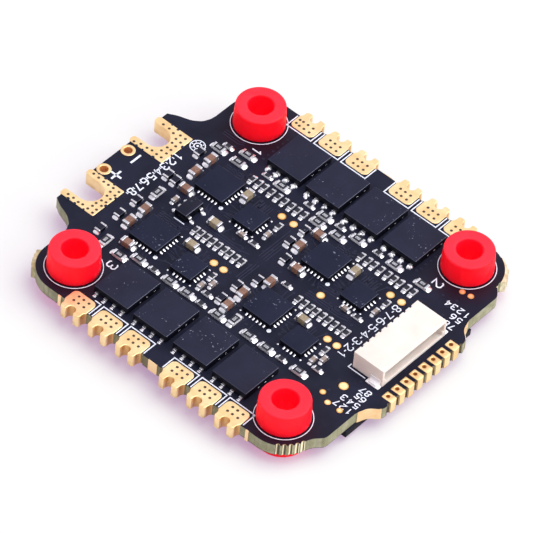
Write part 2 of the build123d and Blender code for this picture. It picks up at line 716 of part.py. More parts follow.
# Underside: current-sense shunt and input decoupling capacitors
with BuildPart() as current_sense_resistor:
    with BuildSketch(Plane.XY.offset(z_bot - 0.60)):
        with Locations((-16.6, 0.0)):
            Rectangle(3.2, 6.4)
    extrude(amount=0.60)
    chamfer(current_sense_resistor.faces().sort_by(Axis.Z)[0].edges(), length=0.06)
current_sense_resistor.part.label = "current_sense_resistor"

with BuildPart() as input_capacitors_bottom:
    with BuildSketch(Plane.XY.offset(z_bot - 1.0)):
        with Locations((-12.3, 2.2), (-12.3, -2.2), (-9.0, 0.0), (-5.4, 0.0), (6.2, 0.0), (9.8, 0.0)):
            Rectangle(1.6, 3.2)
    extrude(amount=1.0)
    chamfer(input_capacitors_bottom.faces().sort_by(Axis.Z)[:6].edges(), length=0.08)
input_capacitors_bottom.part.label = "input_capacitors_bottom"

# ---------------------------------------------------------------- signal connector
conn_cx = (conn_x0 + conn_x1) / 2
conn_cy = (conn_y0 + conn_y1) / 2
conn_lx = conn_x1 - conn_x0
conn_ly = conn_y1 - conn_y0
conn_pin_y = [conn_cy + (k - (conn_pins - 1) / 2) * conn_pitch for k in range(conn_pins)]

with BuildPart() as connector_housing:
    with BuildSketch(Plane.XY.offset(z_top)):
        with Locations((conn_cx, conn_cy)):
            Rectangle(conn_lx, conn_ly)
    extrude(amount=conn_h)
    # mouth, open towards +X
    with BuildSketch(Plane.XY.offset(z_top + conn_floor)):
        with Locations((conn_x1 - 1.45, conn_cy)):
            Rectangle(2.90, conn_ly - 2 * conn_wall)
    extrude(amount=conn_h - conn_floor - conn_roof, mode=Mode.SUBTRACT)
    # back edge relieved between the contacts
    with BuildSketch(Plane.XY.offset(z_top)):
        for k in range(conn_pins + 1):
            with Locations((conn_x0, conn_pin_y[0] - 0.5 + k)):
                Rectangle(0.36, 0.34)
    extrude(amount=conn_h, mode=Mode.SUBTRACT)
    # slots for the contacts in the floor at the back
    with BuildSketch(Plane.XY.offset(z_top)):
        for py in conn_pin_y:
            with Locations((conn_x0 + 0.75, py)):
                Rectangle(1.52, 0.26)
    extrude(amount=1.30, mode=Mode.SUBTRACT)
connector_housing.part.label = "connector_housing"

with BuildPart() as connector_contacts:
    with BuildSketch(Plane.XY.offset(z_top)):
        for py in conn_pin_y:
            with Locations((conn_x0 + 0.20, py)):
                Rectangle(1.90, 0.20)
    extrude(amount=0.16)
    with BuildSketch(Plane.XY.offset(z_top)):
        for py in conn_pin_y:
            with Locations((conn_x0 + 1.00, py)):
                Rectangle(0.30, 0.20)
    extrude(amount=1.28)
    with BuildSketch(Plane.XY.offset(z_top + 1.08)):
        for py in conn_pin_y:
            with Locations((conn_x0 + 2.20, py)):
                Rectangle(2.70, 0.20)
    extrude(amount=0.20)
connector_contacts.part.label = "connector_contacts"

with BuildPart() as connector_solder_tabs:
    with BuildSketch(Plane.XY.offset(z_top)):
        with Locations((19.05, conn_y0 - 0.34), (19.05, conn_y1 + 0.34)):
            Rectangle(1.80, 0.64)
    extrude(amount=0.22)
    with BuildSketch(Plane.XY.offset(z_top)):
        with Locations((19.05, conn_y0 - 0.08), (19.05, conn_y1 + 0.08)):
            Rectangle(1.40, 0.12)
    extrude(amount=0.95)
connector_solder_tabs.part.label = "connector_solder_tabs"

# ---------------------------------------------------------------- solder joints
with BuildPart() as solder_joints:
    # one fillet of solder over the end of each upper transistor lead
    with BuildSketch(Plane.XY.offset(z_top)):
        for (x, y) in fet_top_1 + fet_top_2 + fet_top_3 + fet_top_4:
            for k in range(4):
                with Locations((x + (k - 1.5) * fet_lead_pitch, y - fet_l / 2 - 0.71)):
                    Rectangle(0.50, 0.30)
    extrude(amount=0.18)
solder_joints.part.label = "solder_joints"

# ---------------------------------------------------------------- export
export_step(board_laminate.part, "parts/board_laminate.step")
export_step(battery_pad_negative.part, "parts/battery_pad_negative.step")
export_step(battery_pad_positive.part, "parts/battery_pad_positive.step")
export_step(capacitor_pads.part, "parts/capacitor_pads.step")
export_step(motor_pads_1.part, "parts/motor_pads_1.step")
export_step(motor_pads_2.part, "parts/motor_pads_2.step")
export_step(motor_pads_3.part, "parts/motor_pads_3.step")
export_step(motor_pads_4.part, "parts/motor_pads_4.step")
export_step(signal_pads.part, "parts/signal_pads.step")
export_step(test_pads.part, "parts/test_pads.step")
export_step(edge_plating.part, "parts/edge_plating.step")
export_step(grommet_1.part, "parts/grommet_1.step")
export_step(grommet_2.part, "parts/grommet_2.step")
export_step(grommet_3.part, "parts/grommet_3.step")
export_step(grommet_4.part, "parts/grommet_4.step")
export_step(mosfets_top_motor_1.part, "parts/mosfets_top_motor_1.step")
export_step(mosfets_top_motor_2.part, "parts/mosfets_top_motor_2.step")
export_step(mosfets_top_motor_3.part, "parts/mosfets_top_motor_3.step")
export_step(mosfets_top_motor_4.part, "parts/mosfets_top_motor_4.step")
export_step(mosfets_bottom_motor_1.part, "parts/mosfets_bottom_motor_1.step")
export_step(mosfets_bottom_motor_2.part, "parts/mosfets_bottom_motor_2.step")
export_step(mosfets_bottom_motor_3.part, "parts/mosfets_bottom_motor_3.step")
export_step(mosfets_bottom_motor_4.part, "parts/mosfets_bottom_motor_4.step")
export_step(microcontroller_1.part, "parts/microcontroller_1.step")
export_step(microcontroller_2.part, "parts/microcontroller_2.step")
export_step(microcontroller_3.part, "parts/microcontroller_3.step")
export_step(microcontroller_4.part, "parts/microcontroller_4.step")
export_step(gate_driver_1.part, "parts/gate_driver_1.step")
export_step(gate_driver_2.part, "parts/gate_driver_2.step")
export_step(gate_driver_3.part, "parts/gate_driver_3.step")
export_step(gate_driver_4.part, "parts/gate_driver_4.step")
export_step(voltage_regulator.part, "parts/voltage_regulator.step")
export_step(brown_ceramic_capacitors.part, "parts/brown_ceramic_capacitors.step")
export_step(beige_ceramic_capacitors.part, "parts/beige_ceramic_capacitors.step")
export_step(small_ceramic_capacitors.part, "parts/small_ceramic_capacitors.step")
export_step(marked_resistors.part, "parts/marked_resistors.step")
export_step(small_resistors.part, "parts/small_resistors.step")
export_step(schottky_diodes.part, "parts/schottky_diodes.step")
export_step(resistor_row_motor_1.part, "parts/resistor_row_motor_1.step")
export_step(resistor_row_motor_2.part, "parts/resistor_row_motor_2.step")
export_step(resistor_row_motor_3.part, "parts/resistor_row_motor_3.step")
export_step(resistor_row_motor_4.part, "parts/resistor_row_motor_4.step")
export_step(current_sense_resistor.part, "parts/current_sense_resistor.step")
export_step(input_capacitors_bottom.part, "parts/input_capacitors_bottom.step")
export_step(connector_housing.part, "parts/connector_housing.step")
export_step(connector_contacts.part, "parts/connector_contacts.step")
export_step(connector_solder_tabs.part, "parts/connector_solder_tabs.step")
export_step(solder_joints.part, "parts/solder_joints.step")
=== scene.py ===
import math
import random

import bpy
from mathutils import Matrix, Vector


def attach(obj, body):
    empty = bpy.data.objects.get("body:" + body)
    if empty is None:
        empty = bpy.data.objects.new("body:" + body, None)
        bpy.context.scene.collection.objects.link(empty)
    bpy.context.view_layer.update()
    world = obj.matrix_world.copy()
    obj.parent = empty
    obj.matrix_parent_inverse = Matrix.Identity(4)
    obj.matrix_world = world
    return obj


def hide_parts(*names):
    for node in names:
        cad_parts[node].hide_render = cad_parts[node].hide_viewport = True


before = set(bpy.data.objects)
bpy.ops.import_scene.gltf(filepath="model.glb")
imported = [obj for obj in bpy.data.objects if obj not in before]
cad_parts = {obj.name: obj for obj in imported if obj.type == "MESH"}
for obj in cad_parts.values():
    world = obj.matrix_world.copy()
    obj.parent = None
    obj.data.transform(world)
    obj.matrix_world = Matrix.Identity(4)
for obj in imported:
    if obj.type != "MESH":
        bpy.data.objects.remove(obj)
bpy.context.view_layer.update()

# All lengths below are millimetres in the part's own frame; they are scaled to metres
# when a mesh is made.
MM = 0.001
rng = random.Random(7)

Z_BOT, T, Z_TOP = 1.7, 1.6, 3.3
PLATE = 0.06
HOLE = 15.25

# ------------------------------------------------------------------ layout
FET_TOP = {
    1: [(-8.02, 13.80), (-2.39, 13.80)], 2: [(3.19, 13.79), (8.82, 13.78)],
    3: [(-8.80, -13.66), (-3.11, -13.68)], 4: [(2.68, -13.70), (8.38, -13.72)]}
FET_BOT = {
    1: [(-8.02, 13.80), (-2.39, 13.80), (-8.02, 7.0), (-2.39, 7.0)],
    2: [(3.19, 13.79), (8.82, 13.78), (3.19, 7.0)],
    3: [(-8.80, -13.66), (-3.11, -13.68), (-8.80, -7.0), (-3.11, -7.0)],
    4: [(2.68, -13.70), (8.38, -13.72), (2.68, -7.0)]}
FET_END = {2: (17.92, 7.40), 4: (17.92, -8.60)}
FW, FL, FH = 4.85, 5.40, 0.95
MCU = [(-11.77, 4.76), (3.96, 4.61), (-11.95, -5.78), (3.98, -5.00)]
DRV = [(-6.02, 3.42), (9.83, 3.30), (-6.03, -6.77), (9.60, -6.30)]
REG = (-11.77, -0.37)
CX0, CX1, CY0, CY1, CH = 15.80, 20.00, -4.62, 5.88, 2.43
MOTOR_X = [-11.17, -7.17, -3.17, 3.17, 7.17, 11.17]
SIGNAL_Y = [5.32 - 1.495 * k for k in range(8)]

brown_v = [(-15.13, 6.98), (-15.14, 4.39), (-15.26, -3.76), (-15.26, -6.26),
           (0.39, 4.25), (1.64, -2.01), (0.59, -5.37), (0.58, -7.82)]
brown_h = [(-14.10, 1.74), (-13.18, -8.82), (0.84, 7.00), (2.43, 1.49)]
beige_v = [(-8.62, 5.82), (7.17, 5.73)]
beige_h = [(-8.38, 0.17), (-8.04, -4.03), (7.83, -3.59)]
small_cap_v = [(-13.96, -0.21), (-3.30, 3.11), (12.52, 2.91), (-2.66, -6.61),
               (13.08, -6.26), (-3.46, -7.61), (12.28, -7.11)]
small_cap_h = [(-5.29, 1.16), (9.87, 0.97)]
marked_h = [(-12.79, 10.57), (-12.79, 8.97), (-15.77, 9.03), (-6.97, 9.66),
            (-0.60, 9.65), (-0.60, 8.40), (4.18, 9.64), (2.29, 8.44), (9.52, 9.63),
            (13.56, 9.62), (-12.73, -10.68), (-10.79, -9.58), (-6.30, -9.55),
            (-3.81, -9.56), (0.68, -9.58), (5.03, -9.39), (7.58, -9.40), (12.23, -9.42)]
marked_v = [(-16.05, -0.81), (-15.27, -10.12), (2.48, -8.78)]
small_res_h = [(-15.23, 10.03), (-9.16, 9.77), (-2.99, 9.75), (1.59, 9.74),
               (7.07, 9.73), (-8.64, -9.54), (-1.71, -9.57), (9.73, -9.36),
               (-3.50, 1.11), (11.62, 0.96), (-2.16, -8.06), (13.48, -7.72),
               (3.08, -0.91)]
small_res_v = [(-3.25, 4.91), (12.57, 4.72), (-3.50, -5.75), (12.27, -5.10)]
diodes = [(-16.82, 6.99), (-16.98, 2.04), (-15.84, 1.94), (-16.85, -3.31),
          (-16.85, -6.11), (-16.86, -9.21), (-0.80, 6.45), (-0.85, 4.05),
          (0.49, 1.80), (0.49, -2.71), (-0.61, -4.86), (-0.61, -7.47)]
rows = {
    1: [(x, 8.16) for x in (-10.01, -9.07, -8.24, -7.20, -6.21, -5.25, -4.26, -3.35, -2.41)],
    2: [(x, 8.03) for x in (6.08, 7.07, 7.92, 8.92, 9.92, 10.83, 11.67, 12.66, 13.56)],
    3: [(x, -1.94) for x in (-9.38, -8.58, -7.76, -6.89, -6.04, -5.14, -4.36, -3.50, -2.60)],
    4: [(x, -1.63) for x in (5.34, 6.25, 7.12, 7.93, 8.83, 9.70, 10.57, 11.47, 12.27)]}
bottom_caps = [(-12.3, 2.2), (-12.3, -2.2), (-9.0, 0.0), (-5.4, 0.0), (6.2, 0.0), (9.8, 0.0)]


# ------------------------------------------------------------------ mesh helpers
class Shape:
    """Closed surfaces collected as vertices and faces, in millimetres."""

    def __init__(self):
        self.v, self.f = [], []

    def add(self, v, f):
        o = len(self.v)
        self.v += [tuple(p) for p in v]
        self.f += [tuple(o + i for i in q) for q in f]
        return self

    def loft(self, rings):
        """Rings counter-clockwise from above, lowest first, capped at both ends."""
        n = len(rings[0])
        v = [p for r in rings for p in r]
        f = [tuple(reversed(range(n)))]
        for k in range(len(rings) - 1):
            for i in range(n):
                j = (i + 1) % n
                f.append((k * n + i, k * n + j, (k + 1) * n + j, (k + 1) * n + i))
        f.append(tuple((len(rings) - 1) * n + i for i in range(n)))
        return self.add(v, f)

    def put(self, other, x=0.0, y=0.0, z=0.0, turn=0.0, sx=1.0, sy=1.0, sz=1.0):
        c, s = math.cos(turn), math.sin(turn)
        self.add([(x + (p[0] * sx) * c - (p[1] * sy) * s,
                   y + (p[0] * sx) * s + (p[1] * sy) * c, z + p[2] * sz) for p in other.v],
                 other.f)
        return self

    def under(self, z_ref):
        """Turned over about the plane z_ref, so that it hangs from it."""
        self.v = [(p[0], p[1], 2 * z_ref - p[2]) for p in self.v]
        self.f = [tuple(reversed(q)) for q in self.f]
        return self


def rring(cx, cy, sx, sy, r, z, k=3):
    out = []
    for qx, qy, a0 in ((1, 1, 0), (-1, 1, 90), (-1, -1, 180), (1, -1, 270)):
        for i in range(k + 1):
            a = math.radians(a0 + 90 * i / k)
            out.append((cx + qx * (sx / 2 - r) + r * math.cos(a),
                        cy + qy * (sy / 2 - r) + r * math.sin(a), z))
    return out


def rbox(cx, cy, sx, sy, z0, z1, r=0.05, b=0.04, lower=0.0, k=3, steps=3, draft=0.0):
    """Upright block with rounded corners, a rounded upper rim and, if asked, a lower one."""
    rings = []
    if lower:
        for i in range(steps + 1):
            t = math.pi / 2 * i / steps
            inset = lower * (1 - math.sin(t))
            rings.append(rring(cx, cy, sx - 2 * inset, sy - 2 * inset, max(r - inset, 0.01),
                               z0 + lower * (1 - math.cos(t)), k))
    else:
        rings.append(rring(cx, cy, sx, sy, r, z0, k))
    for i in range(steps + 1):
        t = math.pi / 2 * i / steps
        inset = b * (1 - math.cos(t)) + draft
        rings.append(rring(cx, cy, sx - 2 * inset, sy - 2 * inset, max(r - inset, 0.01),
                           z1 - b + b * math.sin(t), k))
    return Shape().loft(rings)


def disc(cx, cy, r, z0, z1, b=0.0, n=20):
    rings = [[(cx + r * math.cos(2 * math.pi * i / n), cy + r * math.sin(2 * math.pi * i / n), z0)
              for i in range(n)]]
    if b:
        rings.append([(cx + r * math.cos(2 * math.pi * i / n), cy + r * math.sin(2 * math.pi * i / n),
                       z1 - b) for i in range(n)])
    q = r - b
    rings.append([(cx + q * math.cos(2 * math.pi * i / n), cy + q * math.sin(2 * math.pi * i / n), z1)
                  for i in range(n)])
    return Shape().loft(rings)


def tube_ring(cx, cy, r_in, r_out, z0, z1, n=96, a0=0.0, a1=360.0):
    """Flat ring, or an arc of one, with four walls."""
    full = abs(a1 - a0) >= 359.9
    m = n if full else n + 1
    v, f = [], []
    for i in range(m):
        a = math.radians(a0 + (a1 - a0) * i / n)
        c, s = math.cos(a), math.sin(a)
        v += [(cx + r_in * c, cy + r_in * s, z0), (cx + r_out * c, cy + r_out * s, z0),
              (cx + r_out * c, cy + r_out * s, z1), (cx + r_in * c, cy + r_in * s, z1)]
    for i in range(n):
        j = (i + 1) % m
        for p, q in ((0, 1), (1, 2), (2, 3), (3, 0)):
            f.append((4 * i + p, 4 * i + q, 4 * j + q, 4 * j + p)[::-1])
    if not full:
        f.append((3, 2, 1, 0)[::-1])
        e = 4 * (m - 1)
        f.append((e + 3, e + 2, e + 1, e + 0))
    s = Shape()
    s.add(v, f)
    return s


def lathe(cx, cy, profile, n=128):
    """Closed section (r, z) turned about the upright line through (cx, cy)."""
    m = len(profile)
    v, f = [], []
    for i in range(n):
        a = 2 * math.pi * i / n
        v += [(cx + r * math.cos(a), cy + r * math.sin(a), z) for r, z in profile]
    for i in range(n):
        j = (i + 1) % n
        for k in range(m):
            l = (k + 1) % m
            f.append((i * m + k, j * m + k, j * m + l, i * m + l))
    return Shape().add(v, f)


def stroke(pts, w, z0, z1, closed=False):
    """A flat line of width w along the points, mitred at the corners, with walls."""
    n = len(pts)
    left, right = [], []
    for i in range(n):
        if closed:
            a, b, c = pts[i - 1], pts[i], pts[(i + 1) % n]
        else:
            a, b, c = pts[max(i - 1, 0)], pts[i], pts[min(i + 1, n - 1)]
        d1 = Vector((b[0] - a[0], b[1] - a[1])) if a != b else Vector((c[0] - b[0], c[1] - b[1]))
        d2 = Vector((c[0] - b[0], c[1] - b[1])) if c != b else d1
        d1.normalize(), d2.normalize()
        n1, n2 = Vector((-d1.y, d1.x)), Vector((-d2.y, d2.x))
        m = n1 + n2
        if m.length < 1e-6:
            m = n1.copy()
        m.normalize()
        k = min(1.0 / max(m.dot(n1), 0.35), 2.2) * w / 2
        left.append((b[0] + m.x * k, b[1] + m.y * k))
        right.append((b[0] - m.x * k, b[1] - m.y * k))
    v, f = [], []
    for l, r in zip(left, right):
        v += [(l[0], l[1], z0), (r[0], r[1], z0), (r[0], r[1], z1), (l[0], l[1], z1)]
    last = n if closed else n - 1
    for i in range(last):
        j = (i + 1) % n
        for p, q in ((0, 1), (1, 2), (2, 3), (3, 0)):
            f.append((4 * i + p, 4 * i + q, 4 * j + q, 4 * j + p)[::-1])
    if not closed:
        f.append((0, 1, 2, 3)[::-1])
        e = 4 * (n - 1)
        f.append((e, e + 1, e + 2, e + 3))
    return Shape().add(v, f)


def blob(rx, ry, h, seed, n=14, levels=4, rough=0.14):
    """A lump of solder, lowest ring flat on the pad."""
    r = random.Random(seed)
    wob = [1 + rough * (r.random() * 2 - 1) for _ in range(n)]
    wob = [(wob[i - 1] + 2 * wob[i] + wob[(i + 1) % n]) / 4 for i in range(n)]
    dx, dy = rough * rx * (r.random() - 0.5), rough * ry * (r.random() - 0.5)
    rings = []
    for k in range(levels + 1):
        t = math.pi / 2 * k / (levels + 0.35)
        c, s = math.cos(t), math.sin(t)
        rings.append([(rx * wob[i] * c * math.cos(2 * math.pi * i / n) + dx * s,
                       ry * wob[i] * c * math.sin(2 * math.pi * i / n) + dy * s, h * s)
                      for i in range(n)])
    return Shape().loft(rings)


def fillet(w, reach, h, toe=0.035, bulge=0.45, nu=6, nt=6):
    """Solder run from an end face at x = 0 down to the toe of its pad at x = reach."""
    top, v, f = [], [], []
    for i in range(nt + 1):
        t = i / nt
        for j in range(nu + 1):
            u = 2 * j / nu - 1
            hollow = (1 - t) ** 2
            full = math.sqrt(max(0.0, 1 - t * t))
            z = toe + (h - toe) * ((1 - bulge) * hollow + bulge * full)
            z *= 1 - 0.30 * abs(u) ** 3
            half = w / 2 * (1 + 0.06 * t) * (1 - 0.22 * t ** 6)
            x = reach * t * (1 - 0.10 * abs(u) ** 4 * t)
            v.append((x, u * half, max(z, 0.01)))
    cols = nu + 1
    count = len(v)
    for i in range(nt):
        for j in range(nu):
            a = i * cols + j
            f.append((a, a + cols, a + cols + 1, a + 1))
    # floor under the rim
    rim = [j for j in range(cols)] + [i * cols + nu for i in range(1, nt + 1)] \
        + [nt * cols + j for j in range(nu - 1, -1, -1)] + [i * cols for i in range(nt - 1, 0, -1)]
    low = []
    for q in rim:
        low.append(len(v))
        v.append((v[q][0], v[q][1], 0.0))
    for k in range(len(rim)):
        m = (k + 1) % len(rim)
        f.append((rim[k], rim[m], low[m], low[k]))
    f.append(tuple(low))
    return Shape().add(v, f)


def inset(pts, d):
    """Closed outline, counter-clockwise, moved inwards by d."""
    out, n = [], len(pts)
    for i in range(n):
        a, b, c = pts[i - 1], pts[i], pts[(i + 1) % n]
        d1, d2 = Vector((b[0] - a[0], b[1] - a[1])), Vector((c[0] - b[0], c[1] - b[1]))
        d1.normalize(), d2.normalize()
        m = Vector((-d1.y - d2.y, d1.x + d2.x))
        m.normalize()
        k = d / max(m.dot(Vector((-d1.y, d1.x))), 0.6)
        out.append((b[0] + m.x * k, b[1] + m.y * k))
    return out


def arc(cx, cy, r, a0, a1, n=6):
    return [(cx + r * math.cos(math.radians(a0 + (a1 - a0) * i / n)),
             cy + r * math.sin(math.radians(a0 + (a1 - a0) * i / n))) for i in range(n + 1)]


def plate(outline, z0, z1, b=0.05, steps=3):
    """Solid of the outline with both rims rounded by b."""
    rings = [[(x, y, z0) for x, y in inset(outline, b + 0.03)]]
    for i in range(steps + 1):
        t = math.pi / 2 * i / steps
        rings.append([(x, y, z0 + b * (1 - math.cos(t))) for x, y in inset(outline, b * (1 - math.sin(t)))])
    for i in range(steps + 1):
        t = math.pi / 2 * i / steps
        rings.append([(x, y, z1 - b * (1 - math.sin(t))) for x, y in inset(outline, b * (1 - math.cos(t)))])
    rings.append([(x, y, z1) for x, y in inset(outline, b + 0.03)])
    return Shape().loft(rings)


def holed_plate(outline, cx, cy, r, z0, z1, b=0.05, n=40, steps=3):
    """Plate of a star-shaped outline round one hole, every rim rounded by b."""
    sect = []
    for i in range(steps + 1):
        t = math.pi / 2 * i / steps
        sect.append((1, b * (1 - math.sin(t)), z0 + b * (1 - math.cos(t))))
    for i in range(steps + 1):
        t = math.pi / 2 * i / steps
        sect.append((1, b * (1 - math.cos(t)), z1 - b * (1 - math.sin(t))))
    for i in range(steps + 1):
        t = math.pi / 2 * i / steps
        sect.append((0, b * (1 - math.sin(t)), z1 - b * (1 - math.cos(t))))
    for i in range(steps + 1):
        t = math.pi / 2 * i / steps
        sect.append((0, b * (1 - math.cos(t)), z0 + b * (1 - math.sin(t))))
    v, f, m = [], [], len(sect)
    for i in range(n):
        a = 2 * math.pi * i / n
        c, sn = math.cos(a), math.sin(a)
        far = 1e9
        for j in range(len(outline)):
            x1, y1 = outline[j - 1][0] - cx, outline[j - 1][1] - cy
            x2, y2 = outline[j][0] - cx, outline[j][1] - cy
            den = c * (y2 - y1) - sn * (x2 - x1)
            if abs(den) < 1e-9:
                continue
            t = (x1 * (y2 - y1) - y1 * (x2 - x1)) / den
            u = (x1 * sn - y1 * c) / den
            if t > 0 and -1e-6 <= u <= 1 + 1e-6:
                far = min(far, t)
        for kind, d, z in sect:
            q = far - d if kind else r + d
            v.append((cx + q * c, cy + q * sn, z))
    for i in range(n):
        j = (i + 1) % n
        for k in range(m):
            l = (k + 1) % m
            f.append((i * m + k, j * m + k, j * m + l, i * m + l))
    return Shape().add(v, f)


def finish_mesh(name, shape, mat, smooth=30.0):
    me = bpy.data.meshes.new(name)
    me.from_pydata([(x * MM, y * MM, z * MM) for x, y, z in shape.v], [], shape.f)
    me.validate()
    import bmesh
    bm = bmesh.new()
    bm.from_mesh(me)
    bmesh.ops.recalc_face_normals(bm, faces=bm.faces)
    bm.to_mesh(me)
    bm.free()
    me.materials.append(mat)
    if smooth:
        me.polygons.foreach_set("use_smooth", [True] * len(me.polygons))
        me.set_sharp_from_angle(angle=math.radians(smooth))
    me.update()
    ob = bpy.data.objects.new(name, me)
    bpy.context.scene.collection.objects.link(ob)
    return ob


def piece(name, shape, mat, body="board", stands_for=(), smooth=30.0):
    ob = finish_mesh(name, shape, mat, smooth)
    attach(ob, body)
    for n in stands_for:
        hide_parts(n)
    return ob


# ------------------------------------------------------------------ materials
def base(name, color, rough=0.5, metal=0.0, spec=0.5, coat=0.0, coat_rough=0.2, ior=1.5):
    m = bpy.data.materials.new(name)
    m.use_nodes = True
    nt = m.node_tree
    nt.nodes.clear()
    out = nt.nodes.new("ShaderNodeOutputMaterial")
    b = nt.nodes.new("ShaderNodeBsdfPrincipled")
    nt.links.new(b.outputs["BSDF"], out.inputs["Surface"])
    b.inputs["Base Color"].default_value = (*color, 1)
    b.inputs["Roughness"].default_value = rough
    b.inputs["Metallic"].default_value = metal
    b.inputs["Specular IOR Level"].default_value = spec
    b.inputs["IOR"].default_value = ior
    if coat:
        b.inputs["Coat Weight"].default_value = coat
        b.inputs["Coat Roughness"].default_value = coat_rough
    m.diffuse_color = (*color, 1)
    return m, nt, b


def coords(nt, scale=(1, 1, 1)):
    tc = nt.nodes.new("ShaderNodeTexCoord")
    mp = nt.nodes.new("ShaderNodeMapping")
    mp.inputs["Scale"].default_value = scale
    nt.links.new(tc.outputs["Object"], mp.inputs["Vector"])
    return mp.outputs["Vector"]


def noise(nt, vec, scale, detail=3.0, rough=0.55, distortion=0.0):
    n = nt.nodes.new("ShaderNodeTexNoise")
    n.inputs["Scale"].default_value = scale
    n.inputs["Detail"].default_value = detail
    n.inputs["Roughness"].default_value = rough
    n.inputs["Distortion"].default_value = distortion
    nt.links.new(vec, n.inputs["Vector"])
    return n.outputs["Fac"]


def ramp(nt, fac, stops):
    r = nt.nodes.new("ShaderNodeValToRGB")
    e = r.color_ramp.elements
    while len(e) > 1:
        e.remove(e[-1])
    e[0].position, e[0].color = stops[0][0], (*stops[0][1], 1)
    for p, c in stops[1:]:
        k = e.new(p)
        k.color = (*c, 1)
    nt.links.new(fac, r.inputs["Fac"])
    return r.outputs["Color"]


def grey(nt, fac, lo, hi, a=0.0, b=1.0):
    m = nt.nodes.new("ShaderNodeMapRange")
    m.inputs["From Min"].default_value = a
    m.inputs["From Max"].default_value = b
    m.inputs["To Min"].default_value = lo
    m.inputs["To Max"].default_value = hi
    nt.links.new(fac, m.inputs["Value"])
    return m.outputs["Result"]


def mix(nt, fac, a, b):
    m = nt.nodes.new("ShaderNodeMix")
    m.data_type = "RGBA"
    if isinstance(fac, float):
        m.inputs["Factor"].default_value = fac
    else:
        nt.links.new(fac, m.inputs["Factor"])
    for i, x in ((6, a), (7, b)):
        if isinstance(x, tuple):
            m.inputs[i].default_value = (*x, 1)
        else:
            nt.links.new(x, m.inputs[i])
    return m.outputs[2]


def bump(nt, b, fac, strength, distance):
    n = nt.nodes.new("ShaderNodeBump")
    n.inputs["Strength"].default_value = strength
    n.inputs["Distance"].default_value = distance * MM
    nt.links.new(fac, n.inputs["Height"])
    nt.links.new(n.outputs["Normal"], b.inputs["Normal"])
    return n


def simple(name, c0, c1, scale, rough=(0.4, 0.5), metal=0.0, spec=0.5, bump_scale=None,
           bump_h=0.01, bump_s=0.4, coat=0.0, coat_rough=0.2, detail=3.0, lo=0.35, hi=0.65):
    """Colour between c0 and c1 by a fine noise, with roughness and relief from other noises."""
    m, nt, b = base(name, c1, rough[0], metal, spec, coat, coat_rough)
    v = coords(nt)
    n1 = noise(nt, v, scale, detail)
    nt.links.new(ramp(nt, n1, [(lo, c0), (hi, c1)]), b.inputs["Base Color"])
    n2 = noise(nt, v, scale * 2.7, 2.0)
    nt.links.new(grey(nt, n2, rough[0], rough[1], 0.3, 0.7), b.inputs["Roughness"])
    if bump_scale:
        bump(nt, b, noise(nt, v, bump_scale, 3.0), bump_s, bump_h)
    return m


